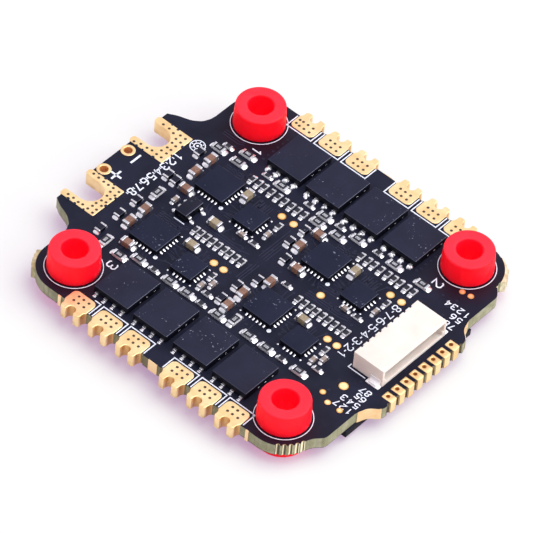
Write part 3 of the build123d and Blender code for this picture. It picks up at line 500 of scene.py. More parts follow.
def mask_material():
    """Dark matt solder mask on the faces, layered glass laminate on the cut walls."""
    m, nt, b = base("mat_laminate", (0.013, 0.015, 0.032), 0.42, 0.0, 0.10)
    v = coords(nt)
    broad = noise(nt, v, 260.0, 3.0)
    fine = noise(nt, v, 2600.0, 2.0)
    face = ramp(nt, broad, [(0.30, (0.0062, 0.0070, 0.0165)), (0.72, (0.0122, 0.0136, 0.0300))])
    # the weave of the glass shows faintly through the mask
    wv = nt.nodes.new("ShaderNodeTexWave")
    wv.bands_direction = "X"
    wv.inputs["Scale"].default_value = 700.0
    wv.inputs["Distortion"].default_value = 1.2
    nt.links.new(v, wv.inputs["Vector"])
    # walls: thin plies parallel to the faces
    plies = nt.nodes.new("ShaderNodeTexWave")
    plies.bands_direction = "Z"
    plies.inputs["Scale"].default_value = 1500.0
    plies.inputs["Distortion"].default_value = 1.6
    plies.inputs["Detail"].default_value = 2.0
    nt.links.new(v, plies.inputs["Vector"])
    ply = ramp(nt, plies.outputs["Fac"], [(0.1, (0.165, 0.160, 0.090)), (0.9, (0.300, 0.292, 0.180))])
    worn = noise(nt, v, 900.0, 4.0)
    ply = mix(nt, grey(nt, worn, 0.0, 1.0, 0.45, 0.75), ply, (0.36, 0.35, 0.25))
    geo = nt.nodes.new("ShaderNodeNewGeometry")
    sep = nt.nodes.new("ShaderNodeSeparateXYZ")
    nt.links.new(geo.outputs["True Normal"], sep.inputs["Vector"])
    up = nt.nodes.new("ShaderNodeMath")
    up.operation = "ABSOLUTE"
    nt.links.new(sep.outputs["Z"], up.inputs[0])
    is_face = grey(nt, up.outputs[0], 0.0, 1.0, 0.45, 0.55)
    # the mask's own thickness is a dark line at the top and bottom of each wall
    pos = nt.nodes.new("ShaderNodeSeparateXYZ")
    nt.links.new(v, pos.inputs["Vector"])
    mid = nt.nodes.new("ShaderNodeMath")
    mid.operation = "SUBTRACT"
    nt.links.new(pos.outputs["Z"], mid.inputs[0])
    mid.inputs[1].default_value = (Z_BOT + T / 2) * MM
    ab = nt.nodes.new("ShaderNodeMath")
    ab.operation = "ABSOLUTE"
    nt.links.new(mid.outputs[0], ab.inputs[0])
    streak_v = coords(nt, (1, 1, 0.04))
    streak = noise(nt, streak_v, 2100.0, 3.0)
    ply = mix(nt, grey(nt, streak, 0.0, 0.55, 0.50, 0.72), ply, (0.105, 0.098, 0.050))
    ay = nt.nodes.new("ShaderNodeMath")
    ay.operation = "ABSOLUTE"
    nt.links.new(pos.outputs["Y"], ay.inputs[0])
    # painted shade: the laminate walls in the scallops between the motor pads are darkened, as shade in the recess
    hollow = grey(nt, ay.outputs[0], 0.0, 0.62, 19.25 * MM, 19.36 * MM)
    hx = nt.nodes.new("ShaderNodeMath")
    hx.operation = "ABSOLUTE"
    nt.links.new(pos.outputs["X"], hx.inputs[0])
    inner_x = grey(nt, hx.outputs[0], 1.0, 0.0, 12.6 * MM, 12.8 * MM)
    scallop_shade = nt.nodes.new("ShaderNodeMath")
    scallop_shade.operation = "MULTIPLY"
    nt.links.new(hollow, scallop_shade.inputs[0])
    nt.links.new(inner_x, scallop_shade.inputs[1])
    ply = mix(nt, scallop_shade.outputs[0], ply, (0.120, 0.090, 0.048))
    rim = grey(nt, ab.outputs[0], 0.0, 1.0, (T / 2 - 0.07) * MM, (T / 2 - 0.045) * MM)
    wall = mix(nt, rim, ply, (0.012, 0.013, 0.022))
    # the stubs of the break-out tabs, beyond the corner rounding, carry no mask
    ab3 = nt.nodes.new("ShaderNodeVectorMath")
    ab3.operation = "ABSOLUTE"
    nt.links.new(v, ab3.inputs[0])
    off = nt.nodes.new("ShaderNodeVectorMath")
    off.operation = "SUBTRACT"
    nt.links.new(ab3.outputs["Vector"], off.inputs[0])
    off.inputs[1].default_value = (HOLE * MM, HOLE * MM, 0)
    flat = nt.nodes.new("ShaderNodeVectorMath")
    flat.operation = "MULTIPLY"
    nt.links.new(off.outputs["Vector"], flat.inputs[0])
    flat.inputs[1].default_value = (1, 1, 0)
    dist = nt.nodes.new("ShaderNodeVectorMath")
    dist.operation = "LENGTH"
    nt.links.new(flat.outputs["Vector"], dist.inputs[0])
    xy = nt.nodes.new("ShaderNodeSeparateXYZ")
    nt.links.new(flat.outputs["Vector"], xy.inputs["Vector"])

    def op(kind, a, b2):
        q = nt.nodes.new("ShaderNodeMath")
        q.operation = kind
        for i, t in enumerate((a, b2)):
            if isinstance(t, float):
                q.inputs[i].default_value = t
            else:
                nt.links.new(t, q.inputs[i])
        return q.outputs[0]

    quadrant = op("GREATER_THAN", op("MULTIPLY", pos.outputs["X"], pos.outputs["Y"]), 0.0)
    outer = op("MULTIPLY", op("GREATER_THAN", xy.outputs["X"], 0.0), op("GREATER_THAN", xy.outputs["Y"], 0.0))
    bare = op("MULTIPLY", op("MULTIPLY", quadrant, outer),
              grey(nt, dist.outputs["Value"], 0.0, 1.0, 4.14 * MM, 4.19 * MM))
    frayed = grey(nt, worn, 0.0, 1.0, 0.4, 0.65)
    # painted light and shade: the bare stubs on the +X side take a lit copy of the laminate colour, those on the -X
    # side a shaded copy
    shaded = mix(nt, frayed, (0.310, 0.265, 0.130), (0.580, 0.510, 0.310))
    painted_lit_stub = mix(nt, frayed, (0.480, 0.400, 0.240), (0.860, 0.760, 0.540))
    raw = mix(nt, op("GREATER_THAN", pos.outputs["X"], 0.0), shaded, painted_lit_stub)
    # painted reflection: a dark red tint on the mask around each grommet, strongest on one side, stands in for the red
    # rubber reflected in the mask
    ox = op("SUBTRACT", pos.outputs["X"], op("MULTIPLY", op("SIGN", pos.outputs["X"], 0.0), HOLE * MM))
    oy = op("SUBTRACT", pos.outputs["Y"], op("MULTIPLY", op("SIGN", pos.outputs["Y"], 0.0), HOLE * MM))
    along = op("SUBTRACT", op("MULTIPLY", ox, 0.60), op("MULTIPLY", oy, 0.80))
    toward = grey(nt, op("DIVIDE", along, dist.outputs["Value"]), 0.12, 1.0, 0.0, 0.9)
    ring = grey(nt, dist.outputs["Value"], 0.75, 0.0, 3.2 * MM, 5.8 * MM)
    face = mix(nt, op("MULTIPLY", toward, ring), face, (0.0170, 0.0020, 0.0058))
    face = mix(nt, bare, face, raw)
    wall = mix(nt, op("MULTIPLY", bare, 0.75), wall, raw)
    # painted shade: the walls of the milled gaps between the signal pads are darkened to brown in patches, as shade in
    # the narrow gaps
    slot = op("MULTIPLY", op("GREATER_THAN", pos.outputs["X"], 21.2 * MM), op("LESS_THAN", ay.outputs[0], 6.3 * MM))
    wall = mix(nt, op("MULTIPLY", slot, grey(nt, worn, 0.95, 0.35, 0.45, 0.70)), wall, (0.060, 0.034, 0.020))
    nt.links.new(mix(nt, is_face, wall, face), b.inputs["Base Color"])
    nt.links.new(grey(nt, fine, 0.36, 0.50, 0.3, 0.7), b.inputs["Roughness"])
    add = nt.nodes.new("ShaderNodeMath")
    add.operation = "ADD"
    nt.links.new(fine, add.inputs[0])
    nt.links.new(wv.outputs["Fac"], add.inputs[1])
    bump(nt, b, add.outputs[0], 0.25, 0.006)
    return m


def epoxy(name, c0, c1, rough, dust=0.0):
    """Fine-grained moulded epoxy with a few pale specks of dust, painted shade on the side walls and a painted
    highlight on the upper rim.
    """
    m, nt, b = base(name, c1, rough, 0.0, 0.08)
    v = coords(nt)
    grain = noise(nt, v, 9000.0, 3.0)
    broad = noise(nt, v, 330.0, 2.0)
    col = ramp(nt, broad, [(0.3, c0), (0.7, c1)])
    col = mix(nt, grey(nt, grain, 0.0, 0.25, 0.5, 0.8), col, tuple(2.0 * x for x in c1))
    if dust:
        specks = noise(nt, v, 3300.0, 1.0)
        where = noise(nt, v, 420.0, 2.0)
        s = grey(nt, specks, 0.0, 1.0, 0.675, 0.715)
        w = grey(nt, where, 0.0, dust, 0.52, 0.60)
        mu = nt.nodes.new("ShaderNodeMath")
        mu.operation = "MULTIPLY"
        nt.links.new(s, mu.inputs[0])
        nt.links.new(w, mu.inputs[1])
        col = mix(nt, mu.outputs[0], col, (0.30, 0.32, 0.40))
    # the true normal sets the painted side shade and the painted rim highlight below
    geo = nt.nodes.new("ShaderNodeNewGeometry")
    sep = nt.nodes.new("ShaderNodeSeparateXYZ")
    nt.links.new(geo.outputs["True Normal"], sep.inputs["Vector"])
    # painted shade: the moulded side walls are darkened to 0.30 of the face colour, as where less light falls
    col = mix(nt, grey(nt, sep.outputs["Z"], 1.0, 0.0, 0.05, 0.30), col, tuple(0.30 * x for x in c0))
    # painted highlight: the rounded upper rim is lightened, most on its +X side, where the lamp would catch it
    rise = grey(nt, sep.outputs["Z"], 0.0, 1.0, 0.20, 0.40)
    fall = grey(nt, sep.outputs["Z"], 1.0, 0.0, 0.93, 0.985)
    side = grey(nt, sep.outputs["X"], 0.10, 1.0, -0.1, 0.35)
    rim = nt.nodes.new("ShaderNodeMath")
    rim.operation = "MULTIPLY"
    nt.links.new(rise, rim.inputs[0])
    nt.links.new(fall, rim.inputs[1])
    rim2 = nt.nodes.new("ShaderNodeMath")
    rim2.operation = "MULTIPLY"
    nt.links.new(rim.outputs[0], rim2.inputs[0])
    nt.links.new(side, rim2.inputs[1])
    painted_rim_highlight = nt.nodes.new("ShaderNodeMath")
    painted_rim_highlight.operation = "MULTIPLY"
    nt.links.new(rim2.outputs[0], painted_rim_highlight.inputs[0])
    painted_rim_highlight.inputs[1].default_value = 0.85
    col = mix(nt, painted_rim_highlight.outputs[0], col, (0.170, 0.180, 0.240))
    nt.links.new(col, b.inputs["Base Color"])
    nt.links.new(grey(nt, broad, rough - 0.05, rough + 0.07, 0.3, 0.7), b.inputs["Roughness"])
    bump(nt, b, grain, 0.35, 0.004)
    return m


def gold_material(name, c0, c1, rough=(0.34, 0.46), broken=False, walls=False):
    m, nt, b = base(name, c1, rough[0], 0.85, 0.5)
    v = coords(nt)
    n1 = noise(nt, v, 520.0, 4.0)
    col = ramp(nt, n1, [(0.32, c0), (0.68, c1)])
    if broken:
        # the half-holes of the break line are drilled through: smeared, dull, greenish; their colour is painted light
        # and shade, pale on faces turned towards +X+Y and dark on faces turned away
        d = nt.nodes.new("ShaderNodeVectorMath")
        d.operation = "DISTANCE"
        nt.links.new(v, d.inputs[0])
        d.inputs[1].default_value = (18.4 * MM, -17.8 * MM, 2.5 * MM)
        near = grey(nt, d.outputs["Value"], 1.0, 0.0, 2.6 * MM, 2.9 * MM)
        facing = nt.nodes.new("ShaderNodeVectorMath")
        facing.operation = "DOT_PRODUCT"
        gn = nt.nodes.new("ShaderNodeNewGeometry")
        nt.links.new(gn.outputs["True Normal"], facing.inputs[0])
        facing.inputs[1].default_value = (0.60, 0.80, 0.0)
        painted_facing_light = ramp(nt, grey(nt, facing.outputs["Value"], 0.0, 1.0, -1.0, 1.0),
                     [(0.30, (0.050, 0.036, 0.018)), (0.50, (0.330, 0.280, 0.150)), (0.66, (0.960, 0.880, 0.600))])
        col = mix(nt, near, col, painted_facing_light)
        nt.links.new(grey(nt, near, 0.85, 0.25), b.inputs["Metallic"])
    if walls:
        # painted shade: inside the milled notches of the long edges the plating is darkened, as shade in the recess;
        # low on the walls it is darker in patches
        xyz = nt.nodes.new("ShaderNodeSeparateXYZ")
        nt.links.new(v, xyz.inputs["Vector"])
        ay = nt.nodes.new("ShaderNodeMath")
        ay.operation = "ABSOLUTE"
        nt.links.new(xyz.outputs["Y"], ay.inputs[0])
        below = grey(nt, xyz.outputs["Z"], 1.0, 0.0, (Z_TOP - 0.12) * MM, (Z_TOP - 0.01) * MM)
        notch = grey(nt, ay.outputs[0], 1.0, 0.0, 19.95 * MM, 20.15 * MM)
        rim = nt.nodes.new("ShaderNodeMath")
        rim.operation = "MULTIPLY"
        nt.links.new(below, rim.inputs[0])
        nt.links.new(notch, rim.inputs[1])
        only = nt.nodes.new("ShaderNodeMath")
        only.operation = "MULTIPLY"
        nt.links.new(rim.outputs[0], only.inputs[0])
        nt.links.new(grey(nt, ay.outputs[0], 0.0, 0.85, 18.9 * MM, 19.1 * MM), only.inputs[1])
        col = mix(nt, only.outputs[0], col, (0.62, 0.335, 0.120))
        foot = grey(nt, xyz.outputs["Z"], 0.55, 0.0, (Z_BOT + 0.05) * MM, (Z_BOT + 0.75) * MM)
        patch = grey(nt, noise(nt, v, 1300.0, 3.0), 0.0, 1.0, 0.42, 0.60)
        low = nt.nodes.new("ShaderNodeMath")
        low.operation = "MULTIPLY"
        nt.links.new(foot, low.inputs[0])
        nt.links.new(patch, low.inputs[1])
        col = mix(nt, low.outputs[0], col, (0.50, 0.30, 0.13))
    nt.links.new(col, b.inputs["Base Color"])
    n2 = noise(nt, v, 1900.0, 3.0)
    nt.links.new(grey(nt, n2, rough[0], rough[1], 0.3, 0.7), b.inputs["Roughness"])
    bump(nt, b, n2, 0.22, 0.012)
    return m


def silicone_material():
    """Soft translucent red silicone rubber with tiny pits, a painted sheen on upward faces and a painted red glow in
    the bore.
    """
    m, nt, b = base("mat_silicone", (0.97, 0.003, 0.010), 0.50, 0.0, 0.20)
    v = coords(nt)
    n1 = noise(nt, v, 240.0, 3.0)
    body = ramp(nt, n1, [(0.30, (0.95, 0.0012, 0.0095)), (0.72, (0.99, 0.0028, 0.0155))])
    painted_top_sheen = ramp(nt, n1, [(0.30, (0.78, 0.0120, 0.0300)), (0.72, (0.86, 0.0175, 0.0400))])
    # painted sheen: faces turned upwards take a paler, bluer red, standing in for the bright sky reflected on the flat
    # top
    nrm = nt.nodes.new("ShaderNodeSeparateXYZ")
    tc = nt.nodes.new("ShaderNodeTexCoord")
    nt.links.new(tc.outputs["Normal"], nrm.inputs["Vector"])
    top = grey(nt, nrm.outputs["Z"], 0.0, 1.0, 0.35, 0.95)
    nt.links.new(mix(nt, top, body, painted_top_sheen), b.inputs["Base Color"])
    ab3 = nt.nodes.new("ShaderNodeVectorMath")
    ab3.operation = "ABSOLUTE"
    nt.links.new(v, ab3.inputs[0])
    off = nt.nodes.new("ShaderNodeVectorMath")
    off.operation = "SUBTRACT"
    nt.links.new(ab3.outputs["Vector"], off.inputs[0])
    off.inputs[1].default_value = (HOLE * MM, HOLE * MM, 0)
    flat = nt.nodes.new("ShaderNodeVectorMath")
    flat.operation = "MULTIPLY"
    nt.links.new(off.outputs["Vector"], flat.inputs[0])
    flat.inputs[1].default_value = (1, 1, 0)
    dist = nt.nodes.new("ShaderNodeVectorMath")
    dist.operation = "LENGTH"
    nt.links.new(flat.outputs["Vector"], dist.inputs[0])
    # painted glow: the bore emits a faint red light, standing in for light passing through the rubber
    b.inputs["Emission Color"].default_value = (1.0, 0.0008, 0.0095, 1)
    nt.links.new(grey(nt, dist.outputs["Value"], 0.42, 0.0, 1.50 * MM, 1.66 * MM), b.inputs["Emission Strength"])
    n2 = noise(nt, v, 1500.0, 3.0)
    nt.links.new(grey(nt, n2, 0.44, 0.60, 0.3, 0.7), b.inputs["Roughness"])
    b.inputs["Subsurface Weight"].default_value = 0.60
    b.inputs["Subsurface Radius"].default_value = (1.0, 0.10, 0.08)
    b.inputs["Subsurface Scale"].default_value = 0.0022
    bump(nt, b, n2, 0.22, 0.014)
    return m


def ceramic(name, c0, c1):
    m, nt, b = base(name, c1, 0.42, 0.0, 0.42)
    v = coords(nt)
    n1 = noise(nt, v, 5200.0, 4.0, 0.7)
    n0 = noise(nt, v, 500.0, 2.0)
    col = ramp(nt, n1, [(0.30, c0), (0.70, c1)])
    col = mix(nt, grey(nt, n0, 0.0, 0.35, 0.4, 0.7), col, tuple(0.72 * x for x in c0))
    nt.links.new(col, b.inputs["Base Color"])
    nt.links.new(grey(nt, n1, 0.34, 0.55, 0.3, 0.7), b.inputs["Roughness"])
    bump(nt, b, n1, 0.3, 0.008)
    return m


def metal(name, c0, c1, rough, lumps=900.0, h=0.02, s=0.35, metallic=0.92):
    m, nt, b = base(name, c1, rough[0], metallic, 0.5)
    v = coords(nt)
    n1 = noise(nt, v, lumps, 4.0)
    nt.links.new(ramp(nt, n1, [(0.30, c0), (0.66, c1)]), b.inputs["Base Color"])
    n2 = noise(nt, v, lumps * 3.1, 2.0)
    nt.links.new(grey(nt, n2, rough[0], rough[1], 0.3, 0.7), b.inputs["Roughness"])
    bump(nt, b, n1, s, h)
    return m


M = {
    "mask": mask_material(),
    "trace": simple("mat_mask_over_copper", (0.0125, 0.0140, 0.0310), (0.0200, 0.0220, 0.0450), 900.0,
                    (0.34, 0.44), spec=0.16, bump_scale=2600.0, bump_h=0.005),
    "gold": gold_material("mat_gold", (0.86, 0.590, 0.280), (0.98, 0.755, 0.430), walls=True),
    "gold_rim": gold_material("mat_gold_rim", (0.66, 0.33, 0.085), (0.84, 0.48, 0.17)),
    "gold_signal": gold_material("mat_gold_signal", (0.86, 0.56, 0.25), (0.98, 0.74, 0.40)),
    "gold_test": gold_material("mat_gold_test_point", (0.90, 0.62, 0.28), (0.99, 0.78, 0.44), (0.40, 0.52)),
    "bore": simple("mat_plated_bore", (0.62, 0.27, 0.075), (0.85, 0.45, 0.16), 1600.0, (0.35, 0.5), metal=0.5,
                   bump_scale=2600.0, bump_h=0.01),
    "gold_edge": gold_material("mat_gold_edge", (0.86, 0.56, 0.27), (0.99, 0.75, 0.44), (0.34, 0.46), True),
    # via discs: dark brown, painted shade standing in for the dark inside of the via holes
    "via": simple("mat_via_holes_painted_shade", (0.022, 0.009, 0.004), (0.060, 0.024, 0.009), 2400.0,
                  (0.5, 0.65), bump_scale=4000.0),
    "silk": simple("mat_silkscreen", (0.60, 0.63, 0.72), (0.78, 0.81, 0.90), 2600.0,
                   (0.55, 0.7), bump_scale=6000.0, bump_h=0.006),
    "fet": epoxy("mat_transistor_epoxy", (0.0125, 0.0134, 0.0275), (0.0168, 0.0180, 0.0360), 0.52, 0.60),
    "chip": epoxy("mat_chip_epoxy", (0.0082, 0.0100, 0.0240), (0.0118, 0.0142, 0.0320), 0.50, 0.45),
    "small_chip": epoxy("mat_small_chip_epoxy", (0.0088, 0.0092, 0.0185), (0.0145, 0.0152, 0.0280), 0.45, 0.3),
    "tin": metal("mat_tinned", (0.56, 0.56, 0.59), (0.80, 0.80, 0.83), (0.20, 0.34), 1400.0, 0.010),
    "solder": metal("mat_solder", (0.58, 0.58, 0.62), (0.88, 0.88, 0.91), (0.20, 0.34), 1000.0, 0.040, 0.55, 0.78),
    "tab": metal("mat_tab", (0.88, 0.88, 0.89), (0.99, 0.99, 0.99), (0.36, 0.44), 700.0, 0.004, 0.2, 0.55),
    "stub": simple("mat_bare_laminate", (0.200, 0.165, 0.060), (0.380, 0.330, 0.160), 1900.0, (0.6, 0.75),
                   bump_scale=2600.0, bump_h=0.03),
    "copper": metal("mat_copper_ends", (0.62, 0.36, 0.20), (0.86, 0.60, 0.40), (0.30, 0.45), 2600.0, 0.008),
    "brown": ceramic("mat_brown_ceramic", (0.118, 0.052, 0.034), (0.265, 0.142, 0.100)),
    "beige": ceramic("mat_beige_ceramic", (0.190, 0.145, 0.085), (0.355, 0.290, 0.200)),
    "greyc": ceramic("mat_grey_ceramic", (0.180, 0.135, 0.115), (0.370, 0.300, 0.265)),
    "alumina": simple("mat_alumina", (0.48, 0.48, 0.50), (0.66, 0.66, 0.69), 2600.0,
                      (0.45, 0.6), bump_scale=5200.0, bump_h=0.008),
    "coat": simple("mat_resistor_coat", (0.0115, 0.0120, 0.0205), (0.0215, 0.0220, 0.0335), 2600.0,
                   (0.28, 0.42), spec=0.25, bump_scale=3200.0, bump_h=0.010),
    "mark": simple("mat_value_mark", (0.42, 0.43, 0.46), (0.62, 0.63, 0.66), 3000.0, (0.5, 0.65),
                   bump_scale=6000.0, bump_h=0.004),
    "shunt": metal("mat_shunt", (0.30, 0.29, 0.27), (0.46, 0.45, 0.42), (0.34, 0.50), 900.0, 0.02),
    "plastic": None, "silicone": silicone_material(),
}


def plastic_material():
    """Ivory heat-resistant nylon, slightly translucent, with a fine mould grain."""
    m, nt, b = base("mat_connector_nylon", (0.78, 0.705, 0.655), 0.45, 0.0, 0.40)
    v = coords(nt)
    n0 = noise(nt, v, 320.0, 3.0)
    nt.links.new(ramp(nt, n0, [(0.30, (0.64, 0.565, 0.510)), (0.72, (0.72, 0.650, 0.600))]),
                 b.inputs["Base Color"])
    n1 = noise(nt, v, 3600.0, 3.0)
    nt.links.new(grey(nt, n1, 0.38, 0.54, 0.3, 0.7), b.inputs["Roughness"])
    b.inputs["Subsurface Weight"].default_value = 0.35
    b.inputs["Subsurface Radius"].default_value = (1.0, 0.70, 0.60)
    b.inputs["Subsurface Scale"].default_value = 0.0010
    bump(nt, b, n1, 0.25, 0.008)
    return m


M["plastic"] = plastic_material()

# CAD nodes that keep their shape
keep = {"board_laminate": "mask", "edge_plating": "gold_edge"}
for node, mat in keep.items():
    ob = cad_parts[node]
    if not ob.data.materials:
        ob.data.materials.append(M[mat])
    for s in range(len(ob.material_slots)):
        ob.material_slots[s].link = "OBJECT"
        ob.material_slots[s].material = M[mat]

# ------------------------------------------------------------------ grommets
def arc_pts(cx, cz, r, a0, a1, n=5):
    return [(cx + r * math.cos(math.radians(a0 + (a1 - a0) * i / n)),
             cz + r * math.sin(math.radians(a0 + (a1 - a0) * i / n))) for i in range(n + 1)]


def grommet_section():
    top = Z_TOP + 2.95
    p = []
    p += arc_pts(1.50 + 0.15, 0.15, 0.15, 180, 270, 4)
    p += arc_pts(2.96 - 0.15, 0.15, 0.15, 270, 360, 6)
    p += [(2.985, 0.70), (3.0, Z_BOT - 0.20)]
    p += arc_pts(2.94, Z_BOT - 0.09, 0.06, 0, 90, 3)
    p += [(2.40, Z_BOT - 0.03), (2.18, Z_BOT - 0.03), (2.15, Z_BOT), (2.13, Z_BOT + 0.3),
          (2.12, Z_BOT + 0.8), (2.13, Z_TOP - 0.3), (2.15, Z_TOP), (2.18, Z_TOP + 0.03),
          (2.5, Z_TOP + 0.03)]
    p += arc_pts(2.88, Z_TOP + 0.15, 0.12, 270, 360, 4)
    p += [(3.0, Z_TOP + 0.45), (2.995, Z_TOP + 0.9), (2.975, Z_TOP + 1.4), (2.945, Z_TOP + 1.9),
          (2.91, Z_TOP + 2.35), (2.893, Z_TOP + 2.62)]
    p += arc_pts(2.888 - 0.19, top - 0.19, 0.19, 3, 90, 7)
    p += [(2.2, top - 0.004)]
    p += arc_pts(1.50 + 0.16, top - 0.17, 0.16, 90, 180, 5)
    p += [(1.50, Z_TOP + 1.2), (1.50, Z_TOP - 0.8), (1.50, 0.6)]
    return p


section = grommet_section()
for n, (gx, gy) in enumerate([(-HOLE, HOLE), (HOLE, HOLE), (-HOLE, -HOLE), (HOLE, -HOLE)], 1):
    g = lathe(gx, gy, section, 144)
    # one gate nib on the flat top
    g.put(blob(0.10, 0.10, 0.03, 50 + n), gx + 2.30 * math.cos(1.1 + n), gy + 2.30 * math.sin(1.1 + n),
          Z_TOP + 2.91)
    piece(f"grommet_{n}_silicone", g, M["silicone"], f"grommet_{n}", [f"grommet_{n}"], 40)

# ------------------------------------------------------------------ power transistors
solder = Shape()
solder_low = Shape()


def fet_body():
    s = rbox(0, 0, FW, FL, 0.05, FH, 0.06, 0.05, 0.0, 3, 3, 0.015)
    return s


def fet_metal():
    s = Shape()
    for k in range(4):
        s.put(rbox((k - 1.5) * 1.27, -FL / 2 - 0.05, 0.42, 0.40, 0.0, 0.25, 0.03, 0.03))
    s.put(rbox(0, FL / 2 + 0.05, 4.10, 0.24, 0.0, 0.25, 0.03, 0.03))
    for k in range(4):
        s.put(rbox((k - 1.5) * 1.27, FL / 2 + 0.13, 0.55, 0.10, 0.0, 0.22, 0.03, 0.03))
    # cut ends of the lead frame's tie bars on the two long walls
    for sx in (-1, 1):
        for ty in (-0.55, 0.55, 1.75):
            s.put(rbox(sx * (FW / 2 - 0.02), ty, 0.06, 0.26, 0.24, 0.38, 0.01, 0.01))
    return s


body_t, metal_t = fet_body(), fet_metal()
lead_row = Shape()
for k in range(4):
    lead_row.put(rbox((k - 1.5) * 1.27, -FL / 2 - 0.05, 0.42, 0.40, 0.0, 0.25, 0.03, 0.03))
for m, pts in FET_TOP.items():
    b, t = Shape(), Shape()
    for x, y in pts:
        b.put(body_t, x, y, Z_TOP)
        t.put(metal_t, x, y, Z_TOP)
    node = f"mosfets_top_motor_{m}"
    piece(f"mosfet_bodies_top_motor_{m}", b, M["fet"], "board", [node], 35)
    piece(f"mosfet_leads_top_motor_{m}", t, M["tin"], "board", [node], 35)

for m, pts in FET_BOT.items():
    b, t = Shape(), Shape()
    for x, y in pts:
        turn = 0.0 if y > 0 else math.pi
        b.put(body_t, x, y, 0, turn)
        t.put(metal_t, x, y, 0, turn)
        for k in range(4):
            solder_low.put(fillet(0.46, 0.42, 0.22), x + (k - 1.5) * 1.27,
                           y + (-1 if y > 0 else 1) * (FL / 2 + 0.13), 0,
                           -math.pi / 2 if y > 0 else math.pi / 2)
    if m in FET_END:
        ex, ey = FET_END[m]
        b.put(body_t, ex, ey, 0, -math.pi / 2)
        t.put(lead_row, ex, ey, 0, -math.pi / 2)
        for k in range(4):
            solder_low.put(fillet(0.46, 0.42, 0.22), ex - FL / 2 - 0.13, ey + (k - 1.5) * 1.27, 0, math.pi)
    for s in (b, t):
        s.v = [(p[0], p[1], Z_BOT - p[2]) for p in s.v]
        s.f = [tuple(reversed(q)) for q in s.f]
    node = f"mosfets_bottom_motor_{m}"
    piece(f"mosfet_bodies_bottom_motor_{m}", b, M["fet"], "board", [node], 35)
    piece(f"mosfet_leads_bottom_motor_{m}", t, M["tin"], "board", [node], 35)

# solder at the leads: ragged wet lumps on the upper row, neat toes on the lower row
for m, pts in FET_TOP.items():
    for x, y in pts:
        for k in range(4):
            lx = x + (k - 1.5) * 1.27
            seed = int(1000 * abs(x) + 10 * k + m)
            if m in (1, 2):
                solder.put(blob(0.29 + 0.07 * rng.random(), 0.36 + 0.10 * rng.random(), 0.32, seed, 18, rough=0.65),
                           lx + 0.08 * (rng.random() - 0.5), y - FL / 2 - 0.44, Z_TOP)
                solder.put(blob(0.20, 0.20, 0.20, seed + 5, rough=0.3),
                           lx + 0.20, y - FL / 2 - 0.18 - 0.1 * rng.random(), Z_TOP)
            else:
                solder.put(blob(0.21, 0.075, 0.13, seed + 3, rough=0.10), lx, y - FL / 2 - 0.37, Z_TOP)
                solder.put(blob(0.24, 0.115, 0.14, seed, rough=0.12), lx, y - FL / 2 - 0.57, Z_TOP)


# ------------------------------------------------------------------ square chips
def qfn(side, height, pins):
    b = rbox(0, 0, side, side, 0.04, height, 0.05, 0.04, 0.0, 3, 3)
    t, s = Shape(), Shape()
    for k in range(pins):
        q = (k - (pins - 1) / 2) * 0.5
        for turn in range(4):
            a = turn * math.pi / 2
            c, sn = math.cos(a), math.sin(a)
            px, py = side / 2 - 0.02, q
            t.put(rbox(0, 0, 0.08, 0.24, 0.0, 0.20, 0.01, 0.01), px * c - py * sn, px * sn + py * c, 0, a)
            px = side / 2 + 0.015
            s.put(fillet(0.20, 0.30, 0.15, 0.04, 0.30, 3, 4), px * c - py * sn, px * sn + py * c, 0, a)
    return b, t, s


for kind, places, side, height, pins, mat, slot in (
        ("microcontroller", MCU, 4.0, 0.75, 6, "chip", "chip_epoxy"),
        ("gate_driver", DRV, 3.0, 0.75, 4, "chip", "chip_epoxy")):
    b0, t0, s0 = qfn(side, height, pins)
    for i, (x, y) in enumerate(places, 1):
        node = f"{kind}_{i}"
        piece(f"{node}_body", Shape().put(b0, x, y, Z_TOP), M[mat], "board", [node], 35)
        piece(f"{node}_terminals", Shape().put(t0, x, y, Z_TOP), M["tin"], "board", [node], 35)
        solder.put(s0, x, y, Z_TOP)
        # bare pad corners show beside the body
        for sx, sy in ((1, -1), (-1, -1), (1, 1)):
            solder.put(blob(0.13, 0.13, 0.08, i * 7 + sx + 3 * sy, rough=0.2),
                       x + sx * (side / 2 + 0.12), y + sy * (side / 2 + 0.12), Z_TOP)

# five-lead regulator
rb = rbox(0, 0, 1.6, 2.9, 0.08, 1.05, 0.06, 0.07, 0.05, 3, 3)
rl = Shape()
for dx, dy in ((-1, 0.95), (-1, 0.0), (-1, -0.95), (1, 0.95), (1, -0.95)):
    # gull-wing lead: out of the wall, down, and along the pad
    side_pts = [(0.70, 0.52), (0.98, 0.52), (1.06, 0.44), (1.10, 0.14), (1.16, 0.06), (1.42, 0.06)]
    rings = []
    for px, pz in side_pts:
        rings.append((px, pz))
    lead = Shape()
    v, f = [], []
    for px, pz in rings:
        v += [(dx * px, dy - 0.2, pz - 0.05), (dx * px, dy + 0.2, pz - 0.05),
              (dx * px, dy + 0.2, pz + 0.06), (dx * px, dy - 0.2, pz + 0.06)]
    for i in range(len(rings) - 1):
        for p, q in ((0, 1), (1, 2), (2, 3), (3, 0)):
            f.append((4 * i + p, 4 * i + q, 4 * i + 4 + q, 4 * i + 4 + p))
    f.append((0, 1, 2, 3))
    e = 4 * (len(rings) - 1)
    f.append((e + 3, e + 2, e + 1, e))
    rl.add(v, f)
    solder.put(blob(0.30, 0.27, 0.16, int(10 * dx + 3 * dy), rough=0.2), REG[0] + dx * 1.30, REG[1] + dy, Z_TOP)
piece("voltage_regulator_body", Shape().put(rb, *REG, Z_TOP), M["small_chip"],
      "board", ["voltage_regulator"], 35)
piece("voltage_regulator_leads", Shape().put(rl, *REG, Z_TOP), M["tin"],
      "board", ["voltage_regulator"], 35)


